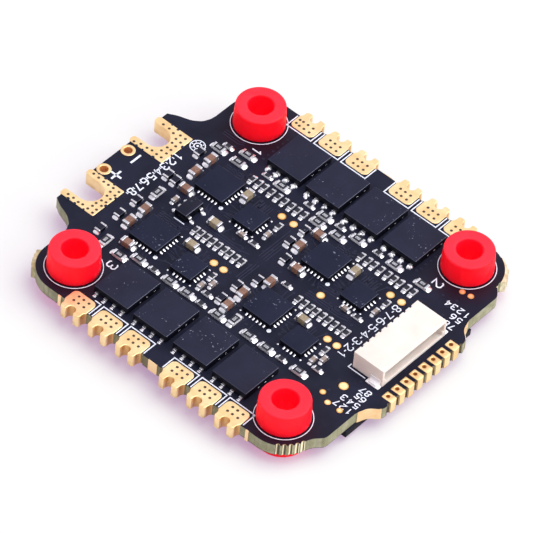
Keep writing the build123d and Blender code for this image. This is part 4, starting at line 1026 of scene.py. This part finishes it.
# ------------------------------------------------------------------ two-terminal parts
def chip_parts(l, w, h, end, body_low=0.03):
    """Body and two wrapped metal ends, long side along X."""
    body = rbox(0, 0, l - 2 * end + 0.04, w - 0.03, 0.01, h - body_low, 0.02, 0.025)
    ends = Shape()
    for s in (-1, 1):
        ends.put(rbox(s * (l / 2 - end / 2), 0, end, w, 0.0, h, 0.05, 0.05))
    return body, ends


def joints_for(l, w, h, reach, x, y, turn):
    for s in (0, 1):
        a = turn + s * math.pi
        px = x + math.cos(a) * (l / 2 - 0.03)
        py = y + math.sin(a) * (l / 2 - 0.03)
        near = 0.5 - 0.5 * math.sin(a) if abs(math.sin(a)) > 0.7 else 0.5 + 0.4 * math.cos(a)
        k = 0.78 + 0.20 * rng.random() + 0.16 * near
        solder.put(fillet(w * (0.90 + 0.14 * rng.random()), reach * k, h * (0.42 + 0.2 * rng.random()), 0.07,
                          0.15 + 0.30 * rng.random()), px, py, Z_TOP, a)


def place_all(names, template, along_x, along_y, size, reach, jitter=0.035):
    """Puts each template shape at every place; returns the collected shapes by name."""
    out = {n: Shape() for n in names}
    for pts, turn in ((along_x, 0.0), (along_y, math.pi / 2)):
        for x, y in pts:
            a = turn + jitter * (rng.random() - 0.5)
            for n, t in zip(names, template):
                out[n].put(t, x, y, Z_TOP, a)
            joints_for(*size, reach, x, y, a)
    return out


def capacitor_group(name, mat, along_x, along_y, size, end, reach, node):
    body, ends = chip_parts(*size, end)
    got = place_all(("b", "e"), (body, ends), along_x, along_y, size, reach)
    piece(f"{name}_bodies", got["b"], M[mat], "board", [node], 35)
    piece(f"{name}_ends", got["e"], M["tin"], "board", [node], 35)


capacitor_group("brown_capacitor", "brown", brown_h, brown_v,
                (1.55, 0.85, 0.80), 0.34, 0.36, "brown_ceramic_capacitors")
capacitor_group("beige_capacitor", "beige", beige_h, beige_v,
                (1.55, 0.85, 0.80), 0.30, 0.36, "beige_ceramic_capacitors")
capacitor_group("small_capacitor", "greyc", small_cap_h, small_cap_v,
                (1.00, 0.50, 0.50), 0.22, 0.28, "small_ceramic_capacitors")


def resistor_template(l, w, h, end, marked):
    core = rbox(0, 0, l - 0.10, w, 0.02, h - 0.05, 0.015, 0.015)
    coat = rbox(0, 0, l - 2 * end - 0.02, w - 0.02, h - 0.07, h, 0.03, 0.025)
    ends = Shape()
    for s in (-1, 1):
        ends.put(rbox(s * (l / 2 - end / 2), 0, end, w - 0.02, 0.0, h - 0.015, 0.03, 0.03))
    mark = Shape()
    if marked:
        for k in (-1, 0, 1):
            mark.put(stroke([(k * 0.21 - 0.055, -0.13), (k * 0.21 + 0.055, -0.13),
                             (k * 0.21 + 0.055, 0.13), (k * 0.21 - 0.055, 0.13)], 0.045,
                            h - 0.004, h + 0.004, True))
    return core, coat, ends, mark


def resistor_group(name, along_x, along_y, size, end, reach, node, marked=False):
    t = resistor_template(*size, end, marked)
    got = place_all(("core", "coat", "ends", "mark"), t, along_x, along_y, size, reach)
    piece(f"{name}_cores", got["core"], M["alumina"], "board", [node], 35)
    piece(f"{name}_coats", got["coat"], M["coat"], "board", [node], 35)
    piece(f"{name}_ends", got["ends"], M["tin"], "board", [node], 35)
    if marked:
        piece(f"{name}_value_marks", got["mark"], M["mark"], "board", [node], 0)


resistor_group("marked_resistor", marked_h, marked_v, (1.60, 0.80, 0.45), 0.28, 0.42,
               "marked_resistors", True)
resistor_group("small_resistor", small_res_h, small_res_v, (1.00, 0.50, 0.35), 0.20, 0.32,
               "small_resistors")
for m, pts in rows.items():
    resistor_group(f"resistor_row_{m}", [], pts, (1.00, 0.50, 0.35), 0.20, 0.34,
                   f"resistor_row_motor_{m}")

db, de = chip_parts(1.25, 0.78, 0.55, 0.22)
got = place_all(("b", "e"), (db, de), [], diodes, (1.25, 0.78, 0.55), 0.30)
piece("schottky_diode_bodies", got["b"], M["small_chip"], "board", ["schottky_diodes"], 35)
piece("schottky_diode_ends", got["e"], M["tin"], "board", ["schottky_diodes"], 35)

# underside shunt and capacitors
sh_mid = rbox(-16.6, 0, 3.16, 4.0, 0.06, 0.56, 0.05, 0.05)
sh_end = Shape()
for s in (-1, 1):
    sh_end.put(rbox(-16.6, s * 2.55, 3.2, 1.3, 0.0, 0.60, 0.08, 0.08))
for s in (sh_mid, sh_end):
    s.v = [(p[0], p[1], Z_BOT - p[2]) for p in s.v]
    s.f = [tuple(reversed(q)) for q in s.f]
piece("current_sense_element", sh_mid, M["shunt"], "board", ["current_sense_resistor"], 35)
piece("current_sense_ends", sh_end, M["tin"], "board", ["current_sense_resistor"], 35)
cb, ce = chip_parts(3.2, 1.6, 1.0, 0.5)
b, e = Shape(), Shape()
for x, y in bottom_caps:
    b.put(cb, x, y, 0, math.pi / 2)
    e.put(ce, x, y, 0, math.pi / 2)
    for s in (-1, 1):
        solder_low.put(fillet(1.5, 0.45, 0.6), x, y + s * 1.57, 0, s * math.pi / 2)
for s in (b, e):
    s.v = [(p[0], p[1], Z_BOT - p[2]) for p in s.v]
    s.f = [tuple(reversed(q)) for q in s.f]
piece("input_capacitor_bodies", b, M["brown"], "board", ["input_capacitors_bottom"], 35)
piece("input_capacitor_ends", e, M["tin"], "board", ["input_capacitors_bottom"], 35)
for s in (-1, 1):
    solder_low.put(fillet(2.9, 0.35, 0.35), -16.6, s * 3.18, 0, s * math.pi / 2)

# ------------------------------------------------------------------ connector
def solid_from(shape):
    me = bpy.data.meshes.new("tmp")
    me.from_pydata([(x * MM, y * MM, z * MM) for x, y, z in shape.v], [], shape.f)
    ob = bpy.data.objects.new("tmp", me)
    bpy.context.scene.collection.objects.link(ob)
    return ob


def plain(cx, cy, sx, sy, z0, z1):
    r = [(cx - sx / 2, cy - sy / 2), (cx + sx / 2, cy - sy / 2), (cx + sx / 2, cy + sy / 2), (cx - sx / 2, cy + sy / 2)]
    return Shape().loft([[(x, y, z0) for x, y in r], [(x, y, z1) for x, y in r]])


ccx, ccy = (CX0 + CX1) / 2, (CY0 + CY1) / 2
lx, ly = CX1 - CX0, CY1 - CY0
pin_y = [ccy + (k - 3.5) * 1.0 for k in range(8)]
shell = solid_from(plain(ccx, ccy, lx, ly, Z_TOP, Z_TOP + CH))
cutters = [plain(CX1 - 1.40, ccy, 3.0, ly - 1.10, Z_TOP + 0.42, Z_TOP + CH - 0.32)]
for k in range(9):
    cutters.append(plain(CX0, pin_y[0] - 0.5 + k, 0.36, 0.34, Z_TOP - 0.2, Z_TOP + CH + 0.2))
for y in pin_y:
    cutters.append(plain(CX0 + 0.72, y, 1.58, 0.27, Z_TOP - 0.2, Z_TOP + 1.31))
# side keyways of the mouth
cutters.append(plain(CX1 - 0.85, CY0 + 0.45, 1.9, 0.30, Z_TOP + 0.95, Z_TOP + CH - 0.32))
cutters.append(plain(CX1 - 0.85, CY1 - 0.45, 1.9, 0.30, Z_TOP + 0.95, Z_TOP + CH - 0.32))
for c in cutters:
    cut = solid_from(c)
    mod = shell.modifiers.new("cut", "BOOLEAN")
    mod.operation, mod.solver, mod.object = "DIFFERENCE", "EXACT", cut
    bpy.context.view_layer.update()
    dg = bpy.context.evaluated_depsgraph_get()
    me = bpy.data.meshes.new_from_object(shell.evaluated_get(dg))
    shell.modifiers.clear()
    shell.data = me
    bpy.data.objects.remove(cut)
bev = shell.modifiers.new("edge", "BEVEL")
bev.width, bev.segments, bev.limit_method, bev.angle_limit = 0.06 * MM, 4, "ANGLE", math.radians(40)
bpy.context.view_layer.update()
me = bpy.data.meshes.new_from_object(shell.evaluated_get(bpy.context.evaluated_depsgraph_get()))
bpy.data.objects.remove(shell)
me.name = "connector_shell"
me.materials.clear()
me.materials.append(M["plastic"])
shell = bpy.data.objects.new("connector_shell", me)
bpy.context.scene.collection.objects.link(shell)
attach(shell, "board")
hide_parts("connector_housing")

pins = Shape()
for y in pin_y:
    pins.put(rbox(CX0 - 0.02, y, 1.46, 0.20, Z_TOP, Z_TOP + 0.16, 0.02, 0.03))
    pins.put(rbox(CX0 + 1.00, y, 0.24, 0.20, Z_TOP + 0.02, Z_TOP + 1.28, 0.02, 0.03))
    pins.put(rbox(CX0 + 2.12, y, 2.50, 0.20, Z_TOP + 1.08, Z_TOP + 1.27, 0.03, 0.05, 0.03))
    solder.put(fillet(0.34, 0.30, 0.14, 0.04, 0.4, 4, 4), CX0 - 0.55, y, Z_TOP, math.pi)
piece("connector_pins", pins, M["tin"], "board", ["connector_contacts"], 35)
tabs = Shape()
for s, ye in ((-1, CY0), (1, CY1)):
    tabs.put(rbox(19.05, ye + s * 0.34, 1.80, 0.62, Z_TOP, Z_TOP + 0.13, 0.10, 0.06))
    tabs.put(rbox(19.05, ye + s * 0.07, 1.40, 0.11, Z_TOP + 0.05, Z_TOP + 0.93, 0.03, 0.04))
    solder.put(blob(0.80, 0.15, 0.12, 30 + s, n=24, rough=0.06), 19.05, ye + s * 0.50, Z_TOP + 0.06)
piece("connector_tabs", tabs, M["tab"], "board", ["connector_solder_tabs"], 35)

# ------------------------------------------------------------------ solder pieces
piece("solder_fillets_top", solder, M["solder"], "board", ["solder_joints"], 50)
solder_low.v = [(p[0], p[1], Z_BOT - p[2]) for p in solder_low.v]
solder_low.f = [tuple(reversed(q)) for q in solder_low.f]
piece("solder_fillets_bottom", solder_low, M["solder"], "board", (), 50)

# ------------------------------------------------------------------ plated pads
PZ0, PZ1 = Z_BOT - PLATE, Z_TOP + PLATE


def motor_outline(px, sgn):
    half = [(1.6, 19.36), (1.525, 19.43), (1.45, 19.54), (1.39, 19.69), (1.36, 19.86), (1.36, 20.08)]
    right_side = arc(0.97, 18.13, 0.63, -90, 0, 7) + half + arc(1.04, 20.10, 0.32, 4, 90, 6) \
        + arc(0.64, 20.31, 0.11, 90, 180, 4) + [(0.53, 20.18)]
    low = arc(0, 20.05, 0.53, 0, -180, 16)
    pts = right_side + low + [(-x, y) for x, y in reversed(right_side)]
    pts = [(px + x, sgn * y) for x, y in pts]
    return pts if sgn > 0 else pts[::-1]


for m, sgn in ((1, 1), (2, 1), (3, -1), (4, -1)):
    pads = Shape()
    for px in (MOTOR_X[:3] if m in (1, 3) else MOTOR_X[3:]):
        pads.put(plate(motor_outline(px, sgn), PZ0, PZ1, 0.055))
    piece(f"motor_pad_plating_{m}", pads, M["gold"], "board", [f"motor_pads_{m}"], 40)


def battery_outline(y0, y1, cy, r, cx):
    x0, x1, a, c = -23.84, -18.78, 0.38, 0.14
    return (arc(x1 - c, y0 + c, c, -90, 0, 4) + arc(x1 - c, y1 - c, c, 0, 90, 4)
            + arc(x0 + a, y1 - a, a, 90, 180, 6) + arc(x0 + a, cy + r + a, a, 180, 270, 6)
            + [(cx - 0.6, cy + r)] + arc(cx, cy, r, 90, -90, 28) + [(cx - 0.6, cy - r)]
            + arc(x0 + a, cy - r - a, a, 90, 180, 6) + arc(x0 + a, y0 + a, a, 180, 270, 6))


for name, dims in (("negative", (2.96, 8.14, 5.55, 1.575, -21.93)), ("positive", (-8.34, -3.16, -5.72, 1.60, -21.60))):
    piece(f"battery_pad_{name}_plating", plate(battery_outline(*dims), PZ0, PZ1, 0.058),
          M["gold"], "board", [f"battery_pad_{name}"], 40)

sig = Shape()
for y in SIGNAL_Y:
    outline = arc(22.20 - 0.20, y + 0.52 - 0.20, 0.20, 0, 90, 5) + arc(20.82 + 0.08, y + 0.52 - 0.08, 0.08, 90, 180, 3) \
        + arc(20.82 + 0.08, y - 0.52 + 0.08, 0.08, 180, 270, 3) + arc(22.20 - 0.20, y - 0.52 + 0.20, 0.20, 270, 360, 5)
    sig.put(holed_plate(outline, 21.32, y, 0.25, PZ0, PZ1, 0.058, 72))
piece("signal_pad_plating", sig, M["gold_signal"], "board", ["signal_pads"], 40)
caps = Shape()
for x, y in [(-22.75, 1.76), (-22.71, -2.24)]:
    caps.put(holed_plate(arc(x, y, 0.85, 0, 360, 64)[:-1], x, y, 0.52, PZ0, PZ1, 0.05, 64))
piece("capacitor_pad_plating", caps, M["gold"], "board", ["capacitor_pads"], 40)
barrels = Shape()
for x, y in [(-22.75, 1.76), (-22.71, -2.24)]:
    barrels.put(tube_ring(x, y, 0.50, 0.54, PZ0 + 0.03, PZ1 - 0.03, 48))
for y in SIGNAL_Y:
    barrels.put(tube_ring(21.32, y, 0.235, 0.27, PZ0 + 0.03, PZ1 - 0.02, 28))
piece("plated_barrels", barrels, M["bore"], "board", (), 40)
TEST = [((-4.09, 6.42), 0.48), ((-2.40, 6.45), 0.48), ((11.97, 6.12), 0.48), ((13.52, 6.16), 0.48),
        ((-4.77, -4.05), 0.48), ((-3.36, -4.05), 0.48), ((11.32, -3.60), 0.48), ((12.67, -3.60), 0.48),
        ((6.62, 0.67), 0.48), ((16.98, -7.43), 0.55), ((15.93, -9.64), 0.36), ((17.28, -10.40), 0.36),
        ((18.94, -10.35), 0.36), ((17.23, 12.06), 0.36), ((18.31, 12.21), 0.36)]
rims, faces = Shape(), Shape()
for (x, y), r in TEST:
    rims.put(holed_plate(arc(x, y, r, 0, 360, 40)[:-1], x, y, r - 0.13, Z_TOP - 0.02, Z_TOP + PLATE, 0.02, 40))
    faces.put(disc(x, y, r - 0.09, Z_TOP - 0.02, Z_TOP + PLATE - 0.012, 0.0, 32))
piece("test_point_rims", rims, M["gold_rim"], "board", ["test_pads"], 40)
piece("test_point_faces", faces, M["gold_test"], "board", ["test_pads"], 40)
# where the mask has crept over the pad edges
creep = Shape()
for k, (x, y) in enumerate([(-21.88, 8.12), (-20.94, 8.02), (-20.11, 2.93), (-21.7, 2.94), (-22.6, 2.94),
                            (-18.80, 6.4), (-18.80, 4.6), (-20.3, -3.16), (-21.6, -3.14), (-22.6, -3.16),
                            (-18.80, -4.6), (-18.80, -6.2), (-20.2, -8.32), (-21.5, -8.34), (-22.5, -8.33)]):
    creep.put(disc(x, y, 0.15 + 0.03 * (k % 3), Z_TOP - 0.02, Z_TOP + PLATE + 0.010, 0.012, 20))
piece("mask_over_pad_edges", creep, M["trace"], "board", (), 40)

# ------------------------------------------------------------------ vias in the pads
vias = Shape()


# each via is a dark brown disc on the pad face, painted shade standing in for its dark open hole
def via(x, y, r=0.17, lower=True):
    vias.put(disc(x, y, r, Z_TOP + PLATE - 0.02, Z_TOP + PLATE + 0.006, 0.004, 16))
    if lower:
        vias.put(disc(x, y, r, Z_BOT - PLATE - 0.006, Z_BOT - PLATE + 0.02, 0.0, 12))


for sgn in (1, -1):
    for px in MOTOR_X:
        for dx in (-0.69, 0.0, 0.77):
            for yy in (18.11, 18.89):
                # the two rows of three are staggered a little
                via(px + dx + (0.0 if yy > 18.5 else 0.06), sgn * yy)
via(-11.17 - 1.15, 18.2)
via(-11.17 - 1.15, 18.85)
for x, y in [(-22.63, 7.45), (-21.74, 7.45), (-20.94, 7.25), (-20.15, 7.54), (-19.4, 7.54),
             (-20.15, 6.8), (-19.41, 6.74), (-20.05, 6.05), (-19.41, 5.94), (-19.96, 5.15),
             (-19.41, 5.15), (-20.11, 4.35), (-19.41, 4.4), (-20.11, 3.55), (-19.41, 3.55),
             (-20.85, 3.6), (-21.5, 3.5), (-22.39, 3.46), (-23.19, 3.21)]:
    via(x, y)
for x, y in [(-23.01, -3.59), (-22.22, -3.64), (-21.42, -3.69), (-20.73, -3.69), (-20.03, -3.65),
             (-19.18, -3.65), (-19.88, -4.3), (-19.14, -4.35), (-19.74, -5.0), (-19.14, -5.1),
             (-19.69, -5.95), (-19.14, -5.8), (-19.84, -6.65), (-19.14, -6.55), (-19.84, -7.25),
             (-19.14, -7.35), (-19.15, -8.0), (-19.94, -7.9), (-20.74, -7.85), (-21.33, -7.94),
             (-22.13, -7.84), (-22.92, -7.84)]:
    via(x, y)
piece("via_holes_painted_shade", vias, M["via"], "board", (), 40)

# ------------------------------------------------------------------ silkscreen
silk = Shape()
S0, S1 = Z_TOP - 0.01, Z_TOP + 0.018


def line(*pts, w=0.15, closed=False):
    silk.put(stroke(list(pts), w, S0, S1, closed))


for gx, gy in [(-HOLE, HOLE), (HOLE, HOLE), (-HOLE, -HOLE), (HOLE, -HOLE)]:
    silk.put(tube_ring(gx, gy, 3.205, 3.295, S0, S1, 120))
for sgn in (1, -1):
    for px in MOTOR_X:
        if px == MOTOR_X[0] and sgn < 0:
            # only a corner of this frame was printed
            line((px + 0.95, -17.27), (px + 1.80, -17.27), (px + 1.80, -19.2), w=0.14)
            continue
        line((px - 1.76, sgn * 19.2), (px - 1.76, sgn * 17.27), (px + 1.80, sgn * 17.27),
             (px + 1.80, sgn * 19.2), w=0.14)
line((-21.26, 0.56), (-21.26, 2.21), w=0.25)
line((-21.17, -2.74), (-21.17, -1.14), w=0.25)
line((-21.92, -1.94), (-20.42, -1.94), w=0.25)
line((15.5, -4.4), (15.5, -4.95), (17.9, -4.95), w=0.13)
line((-12.4, -2.1), (-10.9, -2.1), w=0.13)
for x, y in [(-9.67, 2.57), (6.08, 2.43), (-9.84, -7.99), (6.03, -7.19)]:
    silk.put(disc(x, y, 0.26, S0, S1 + 0.01, 0.008, 24))

GLYPH = {
    "0": [([(.2, 0), (.8, 0), (1, .2), (1, .8), (.8, 1), (.2, 1), (0, .8), (0, .2)], True)],
    "1": [([(.15, .78), (.5, 1), (.5, 0)], False)],
    "2": [([(0, .8), (.2, 1), (.8, 1), (1, .82), (1, .62), (0, 0), (1, 0)], False)],
    "3": [([(0, .86), (.2, 1), (.8, 1), (1, .84), (1, .66), (.78, .52), (.4, .52)], False),
          ([(.78, .52), (1, .38), (1, .16), (.8, 0), (.2, 0), (0, .14)], False)],
    "4": [([(.72, 0), (.72, 1), (0, .3), (1, .3)], False)],
    "5": [([(.95, 1), (.12, 1), (.05, .55), (.7, .6), (1, .42), (1, .16), (.78, 0), (.2, 0), (0, .14)], False)],
    "6": [([(.85, 1), (.35, .95), (0, .6), (0, .18), (.2, 0), (.8, 0), (1, .18), (1, .4), (.8, .56), (.15, .54)], False)],
    "7": [([(0, 1), (1, 1), (.35, 0)], False)],
    "8": [([(.32, .53), (.08, .70), (.08, .86), (.26, 1), (.74, 1), (.92, .86), (.92, .70), (.68, .53),
            (1, .34), (1, .14), (.8, 0), (.2, 0), (0, .14), (0, .34)], True),
          ([(.30, .53), (.70, .53)], False)],
}


def numeral(ch, x, y, h, w, width=0.13, u=(0.0, -1.0), v=(1.0, 0.0)):
    """Digit centred on (x, y), read along u, its top towards v."""
    for pts, closed in GLYPH[ch]:
        q = []
        for a, b in pts:
            a, b = (a - 0.5) * w, (b - 0.5) * h
            q.append((x + a * u[0] + b * v[0], y + a * u[1] + b * v[1]))
        line(*q, w=width, closed=closed)


numeral("1", -12.6, 11.8, 1.15, 0.80, 0.16)
numeral("2", 14.55, 11.1, 1.15, 0.85, 0.16)
numeral("3", -12.4, -12.15, 1.15, 0.85, 0.16)
# contact numbers beside the connector
for k in range(8):
    numeral(str(8 - k), 13.75, 5.10 - 1.32 * k, 0.96, 0.62, 0.13)
    if k < 7:
        line((13.75, 5.10 - 1.32 * k - 0.52), (13.75, 5.10 - 1.32 * k - 0.80), w=0.13)
# numbers of the edge pads, on both sides of the connector, read along -X
LABELS = [("1234", 19.77, 9.78, 17.20, 9.70), ("56", 19.70, 8.56, 18.85, 8.56),
          ("78", 19.78, 7.33, 18.95, 7.30), ("127", 19.70, -9.72, 18.00, -9.70),
          ("543", 19.80, -8.60, 18.07, -8.62), ("65", 19.70, -7.50, 19.00, -7.40),
          ("87", 19.56, -6.41, 18.86, -6.37)]
for text, x0, y0, x1, y1 in LABELS:
    n = len(text)
    dx, dy = x1 - x0, y1 - y0
    ln = math.hypot(dx, dy) or 1.0
    u = (dx / ln, dy / ln)
    for i, ch in enumerate(text):
        t = i / (n - 1) if n > 1 else 0.0
        numeral(ch, x0 + dx * t, y0 + dy * t, 0.74, 0.52, 0.125, u, (-u[1], u[0]))
# a numbered scale and a plain alignment ring take the place of the printed name
for k, ch in enumerate("12345678"):
    yy = 5.0 - 1.08 * k
    numeral(ch, -18.25, yy, 1.0, 0.62, 0.16)
    line((-18.62, yy - 0.54), (-18.30, yy - 0.54), w=0.12)
silk.put(tube_ring(-17.75, 7.75, 0.80, 0.92, S0, S1, 56))
silk.put(tube_ring(-17.75, 7.75, 0.36, 0.50, S0, S1, 40))
for a in range(8):
    ca, sa = math.cos(a * math.pi / 4 + 0.2), math.sin(a * math.pi / 4 + 0.2)
    line((-17.75 + 0.58 * ca, 7.75 + 0.58 * sa), (-17.75 + 0.74 * ca, 7.75 + 0.74 * sa), w=0.13)
silk.put(disc(-17.75, 7.75, 0.14, S0, S1, 0.0, 20))
piece("silkscreen", silk, M["silk"], "board", (), 0)

# ------------------------------------------------------------------ copper relief under the mask
relief = Shape()
R0, R1 = Z_TOP - 0.01, Z_TOP + 0.011


def trace(pts, w=0.13):
    relief.put(stroke(pts, w, R0, R1))


def dimple(x, y, r=0.17):
    relief.put(tube_ring(x, y, 0.07, r, R0, R1 + 0.004, 14))


tr = random.Random(21)
for places, side, pins in ((MCU, 4.0, 6), (DRV, 3.0, 4)):
    for cx, cy in places:
        for k in range(pins):
            q = (k - (pins - 1) / 2) * 0.5
            for turn in range(4):
                a = turn * math.pi / 2
                c, s = math.cos(a), math.sin(a)
                n = 0.55 + 0.9 * tr.random()
                skew = (q / (side / 2)) * (0.5 + 0.5 * tr.random())
                loc = [(side / 2 + 0.2, q), (side / 2 + 0.45 + 0.25 * n, q),
                       (side / 2 + 0.6 + n, q + skew)]
                pts = [(cx + px * c - py * s, cy + px * s + py * c) for px, py in loc]
                if tr.random() < 0.6:
                    trace(pts, 0.11)
                if tr.random() < 0.45:
                    dimple(*pts[-1])
# bundles running between the channels
for x0, y0, dx, dy, n, pitch, length in (
        (-7.4, 5.45, 0.0, 1.0, 7, 0.32, 1.35), (8.3, 5.35, 0.0, 1.0, 7, 0.32, 1.35),
        (-7.5, -4.75, 0.0, 1.0, 6, 0.32, 1.2), (8.0, -4.45, 0.0, 1.0, 6, 0.32, 1.2),
        (-2.0, 0.2, 0.0, 1.0, 4, 0.34, 5.4), (13.9, -2.9, 0.0, 1.0, 3, 0.30, 6.0),
        (-1.7, -3.9, 0.0, 1.0, 3, 0.33, 3.0)):
    for i in range(n):
        ln = length * (0.8 + 0.3 * tr.random())
        x = x0 + i * pitch
        trace([(x, y0), (x + dx * ln, y0 + dy * ln)], 0.12)
for x0, y0, n, pitch, length in ((-9.0, -0.95, 3, 0.33, 6.0), (5.2, -0.35, 3, 0.33, 6.6),
                                 (-8.8, 2.05, 2, 0.33, 2.2), (5.4, 1.6, 3, 0.33, 3.2),
                                 (-14.0, -3.0, 3, 0.33, 3.6), (-13.6, 7.35, 3, 0.33, 3.2),
                                 (3.2, 7.1, 3, 0.33, 2.4), (-17.2, 11.2, 3, 0.35, 3.4)):
    for i in range(n):
        y = y0 + i * pitch
        ln = length * (0.8 + 0.3 * tr.random())
        trace([(x0, y), (x0 + ln * 0.8, y), (x0 + ln, y + 0.3)], 0.12)
for _ in range(150):
    x, y = tr.uniform(-18.0, 19.5), tr.uniform(-10.8, 11.4)
    if (abs(x - 17.9) < 2.6 and -5.2 < y < 6.4) or math.hypot(abs(x) - HOLE, abs(y) - HOLE) < 3.6:
        continue
    dimple(x, y, 0.16)
for sgn in (1, -1):
    for x in (-11.3, -5.55, 0.3, 5.9, 11.8):
        for k in range(6):
            dimple(x + 0.08 * (tr.random() - 0.5), sgn * (11.5 + 0.82 * k), 0.15)
piece("copper_under_mask", relief, M["trace"], "board", (), 0)

# ------------------------------------------------------------------ stage, light, camera
def floor():
    me = bpy.data.meshes.new("floor")
    s = 1.2
    me.from_pydata([(-s, -s, 0), (s, -s, 0), (s, s, 0), (-s, s, 0)], [], [(0, 1, 2, 3)])
    ob = bpy.data.objects.new("floor", me)
    bpy.context.scene.collection.objects.link(ob)
    # a pale acrylic table, faintly lit from below, so that contact shadows stay soft and lilac
    m, nt, b = base("mat_floor", (0.43, 0.54, 0.41), 0.6, 0.0, 0.2)
    v = coords(nt)
    nt.links.new(ramp(nt, noise(nt, v, 9.0, 2.0), [(0.3, (0.425, 0.535, 0.405)), (0.7, (0.435, 0.545, 0.415))]),
                 b.inputs["Base Color"])
    b.inputs["Emission Color"].default_value = (0.345, 0.185, 0.365, 1.0)
    b.inputs["Emission Strength"].default_value = 1.0
    me.materials.append(m)
    ob.location.z = -0.00002
    return ob


floor()

world = bpy.data.worlds.new("studio")
bpy.context.scene.world = world
world.use_nodes = True
wt = world.node_tree
wt.nodes.clear()
wo = wt.nodes.new("ShaderNodeOutputWorld")
bg = wt.nodes.new("ShaderNodeBackground")
wc = wt.nodes.new("ShaderNodeTexCoord")
ws = wt.nodes.new("ShaderNodeSeparateXYZ")
wt.links.new(wc.outputs["Generated"], ws.inputs["Vector"])
wr = wt.nodes.new("ShaderNodeValToRGB")
we = wr.color_ramp.elements
we[0].position, we[0].color = 0.0, (1.0, 0.97, 1.0, 1)
we[1].position, we[1].color = 1.0, (0.46, 0.45, 0.50, 1)
k = we.new(0.40)
k.color = (0.92, 0.89, 0.94, 1)
k = we.new(0.62)
k.color = (0.66, 0.64, 0.69, 1)
wt.links.new(ws.outputs["Z"], wr.inputs["Fac"])
wt.links.new(wr.outputs["Color"], bg.inputs["Color"])
bg.inputs["Strength"].default_value = 1.35
wt.links.new(bg.outputs["Background"], wo.inputs["Surface"])


def area(name, loc, target, size, power, color=(1, 1, 1)):
    ld = bpy.data.lights.new(name, "AREA")
    ld.shape = "RECTANGLE"
    ld.size, ld.size_y = size
    ld.energy = power
    ld.color = color
    ob = bpy.data.objects.new(name, ld)
    ob.location = loc
    ob.rotation_mode = "QUATERNION"
    ob.rotation_quaternion = (Vector(target) - Vector(loc)).to_track_quat("-Z", "Y")
    bpy.context.scene.collection.objects.link(ob)
    return ob


area("softbox_top", (0.14, 0.10, 0.45), (0, 0, 0), (0.46, 0.46), 2.1)
area("softbox_right", (0.42, 0.12, 0.13), (0, 0, 0), (0.30, 0.30), 0.85)

cam_data = bpy.data.cameras.new("camera")
cam_data.sensor_width = 36.0
cam_data.lens = 5947.69 / 533.0 * 36.0
cam_data.clip_start, cam_data.clip_end = 0.02, 20.0
cam = bpy.data.objects.new("camera", cam_data)
bpy.context.scene.collection.objects.link(cam)
az, el, roll, dist = math.radians(37.0753), math.radians(47.6196), math.radians(5.9794), 0.64889
back = Vector((math.sin(az) * math.cos(el), -math.cos(az) * math.cos(el), math.sin(el)))
right = Vector((math.cos(az), math.sin(az), 0.0))
up = back.cross(right)
right2 = right * math.cos(roll) + up * math.sin(roll)
up2 = up * math.cos(roll) - right * math.sin(roll)
target = Vector((-0.3733 * MM, -0.3317 * MM, Z_TOP * MM))
loc = target + back * dist
cam.matrix_world = Matrix(((right2.x, up2.x, back.x, loc.x), (right2.y, up2.y, back.y, loc.y),
                           (right2.z, up2.z, back.z, loc.z), (0, 0, 0, 1)))
bpy.context.scene.camera = cam
bpy.context.scene.view_settings.view_transform = "Standard"
bpy.context.scene.view_settings.look = "None"
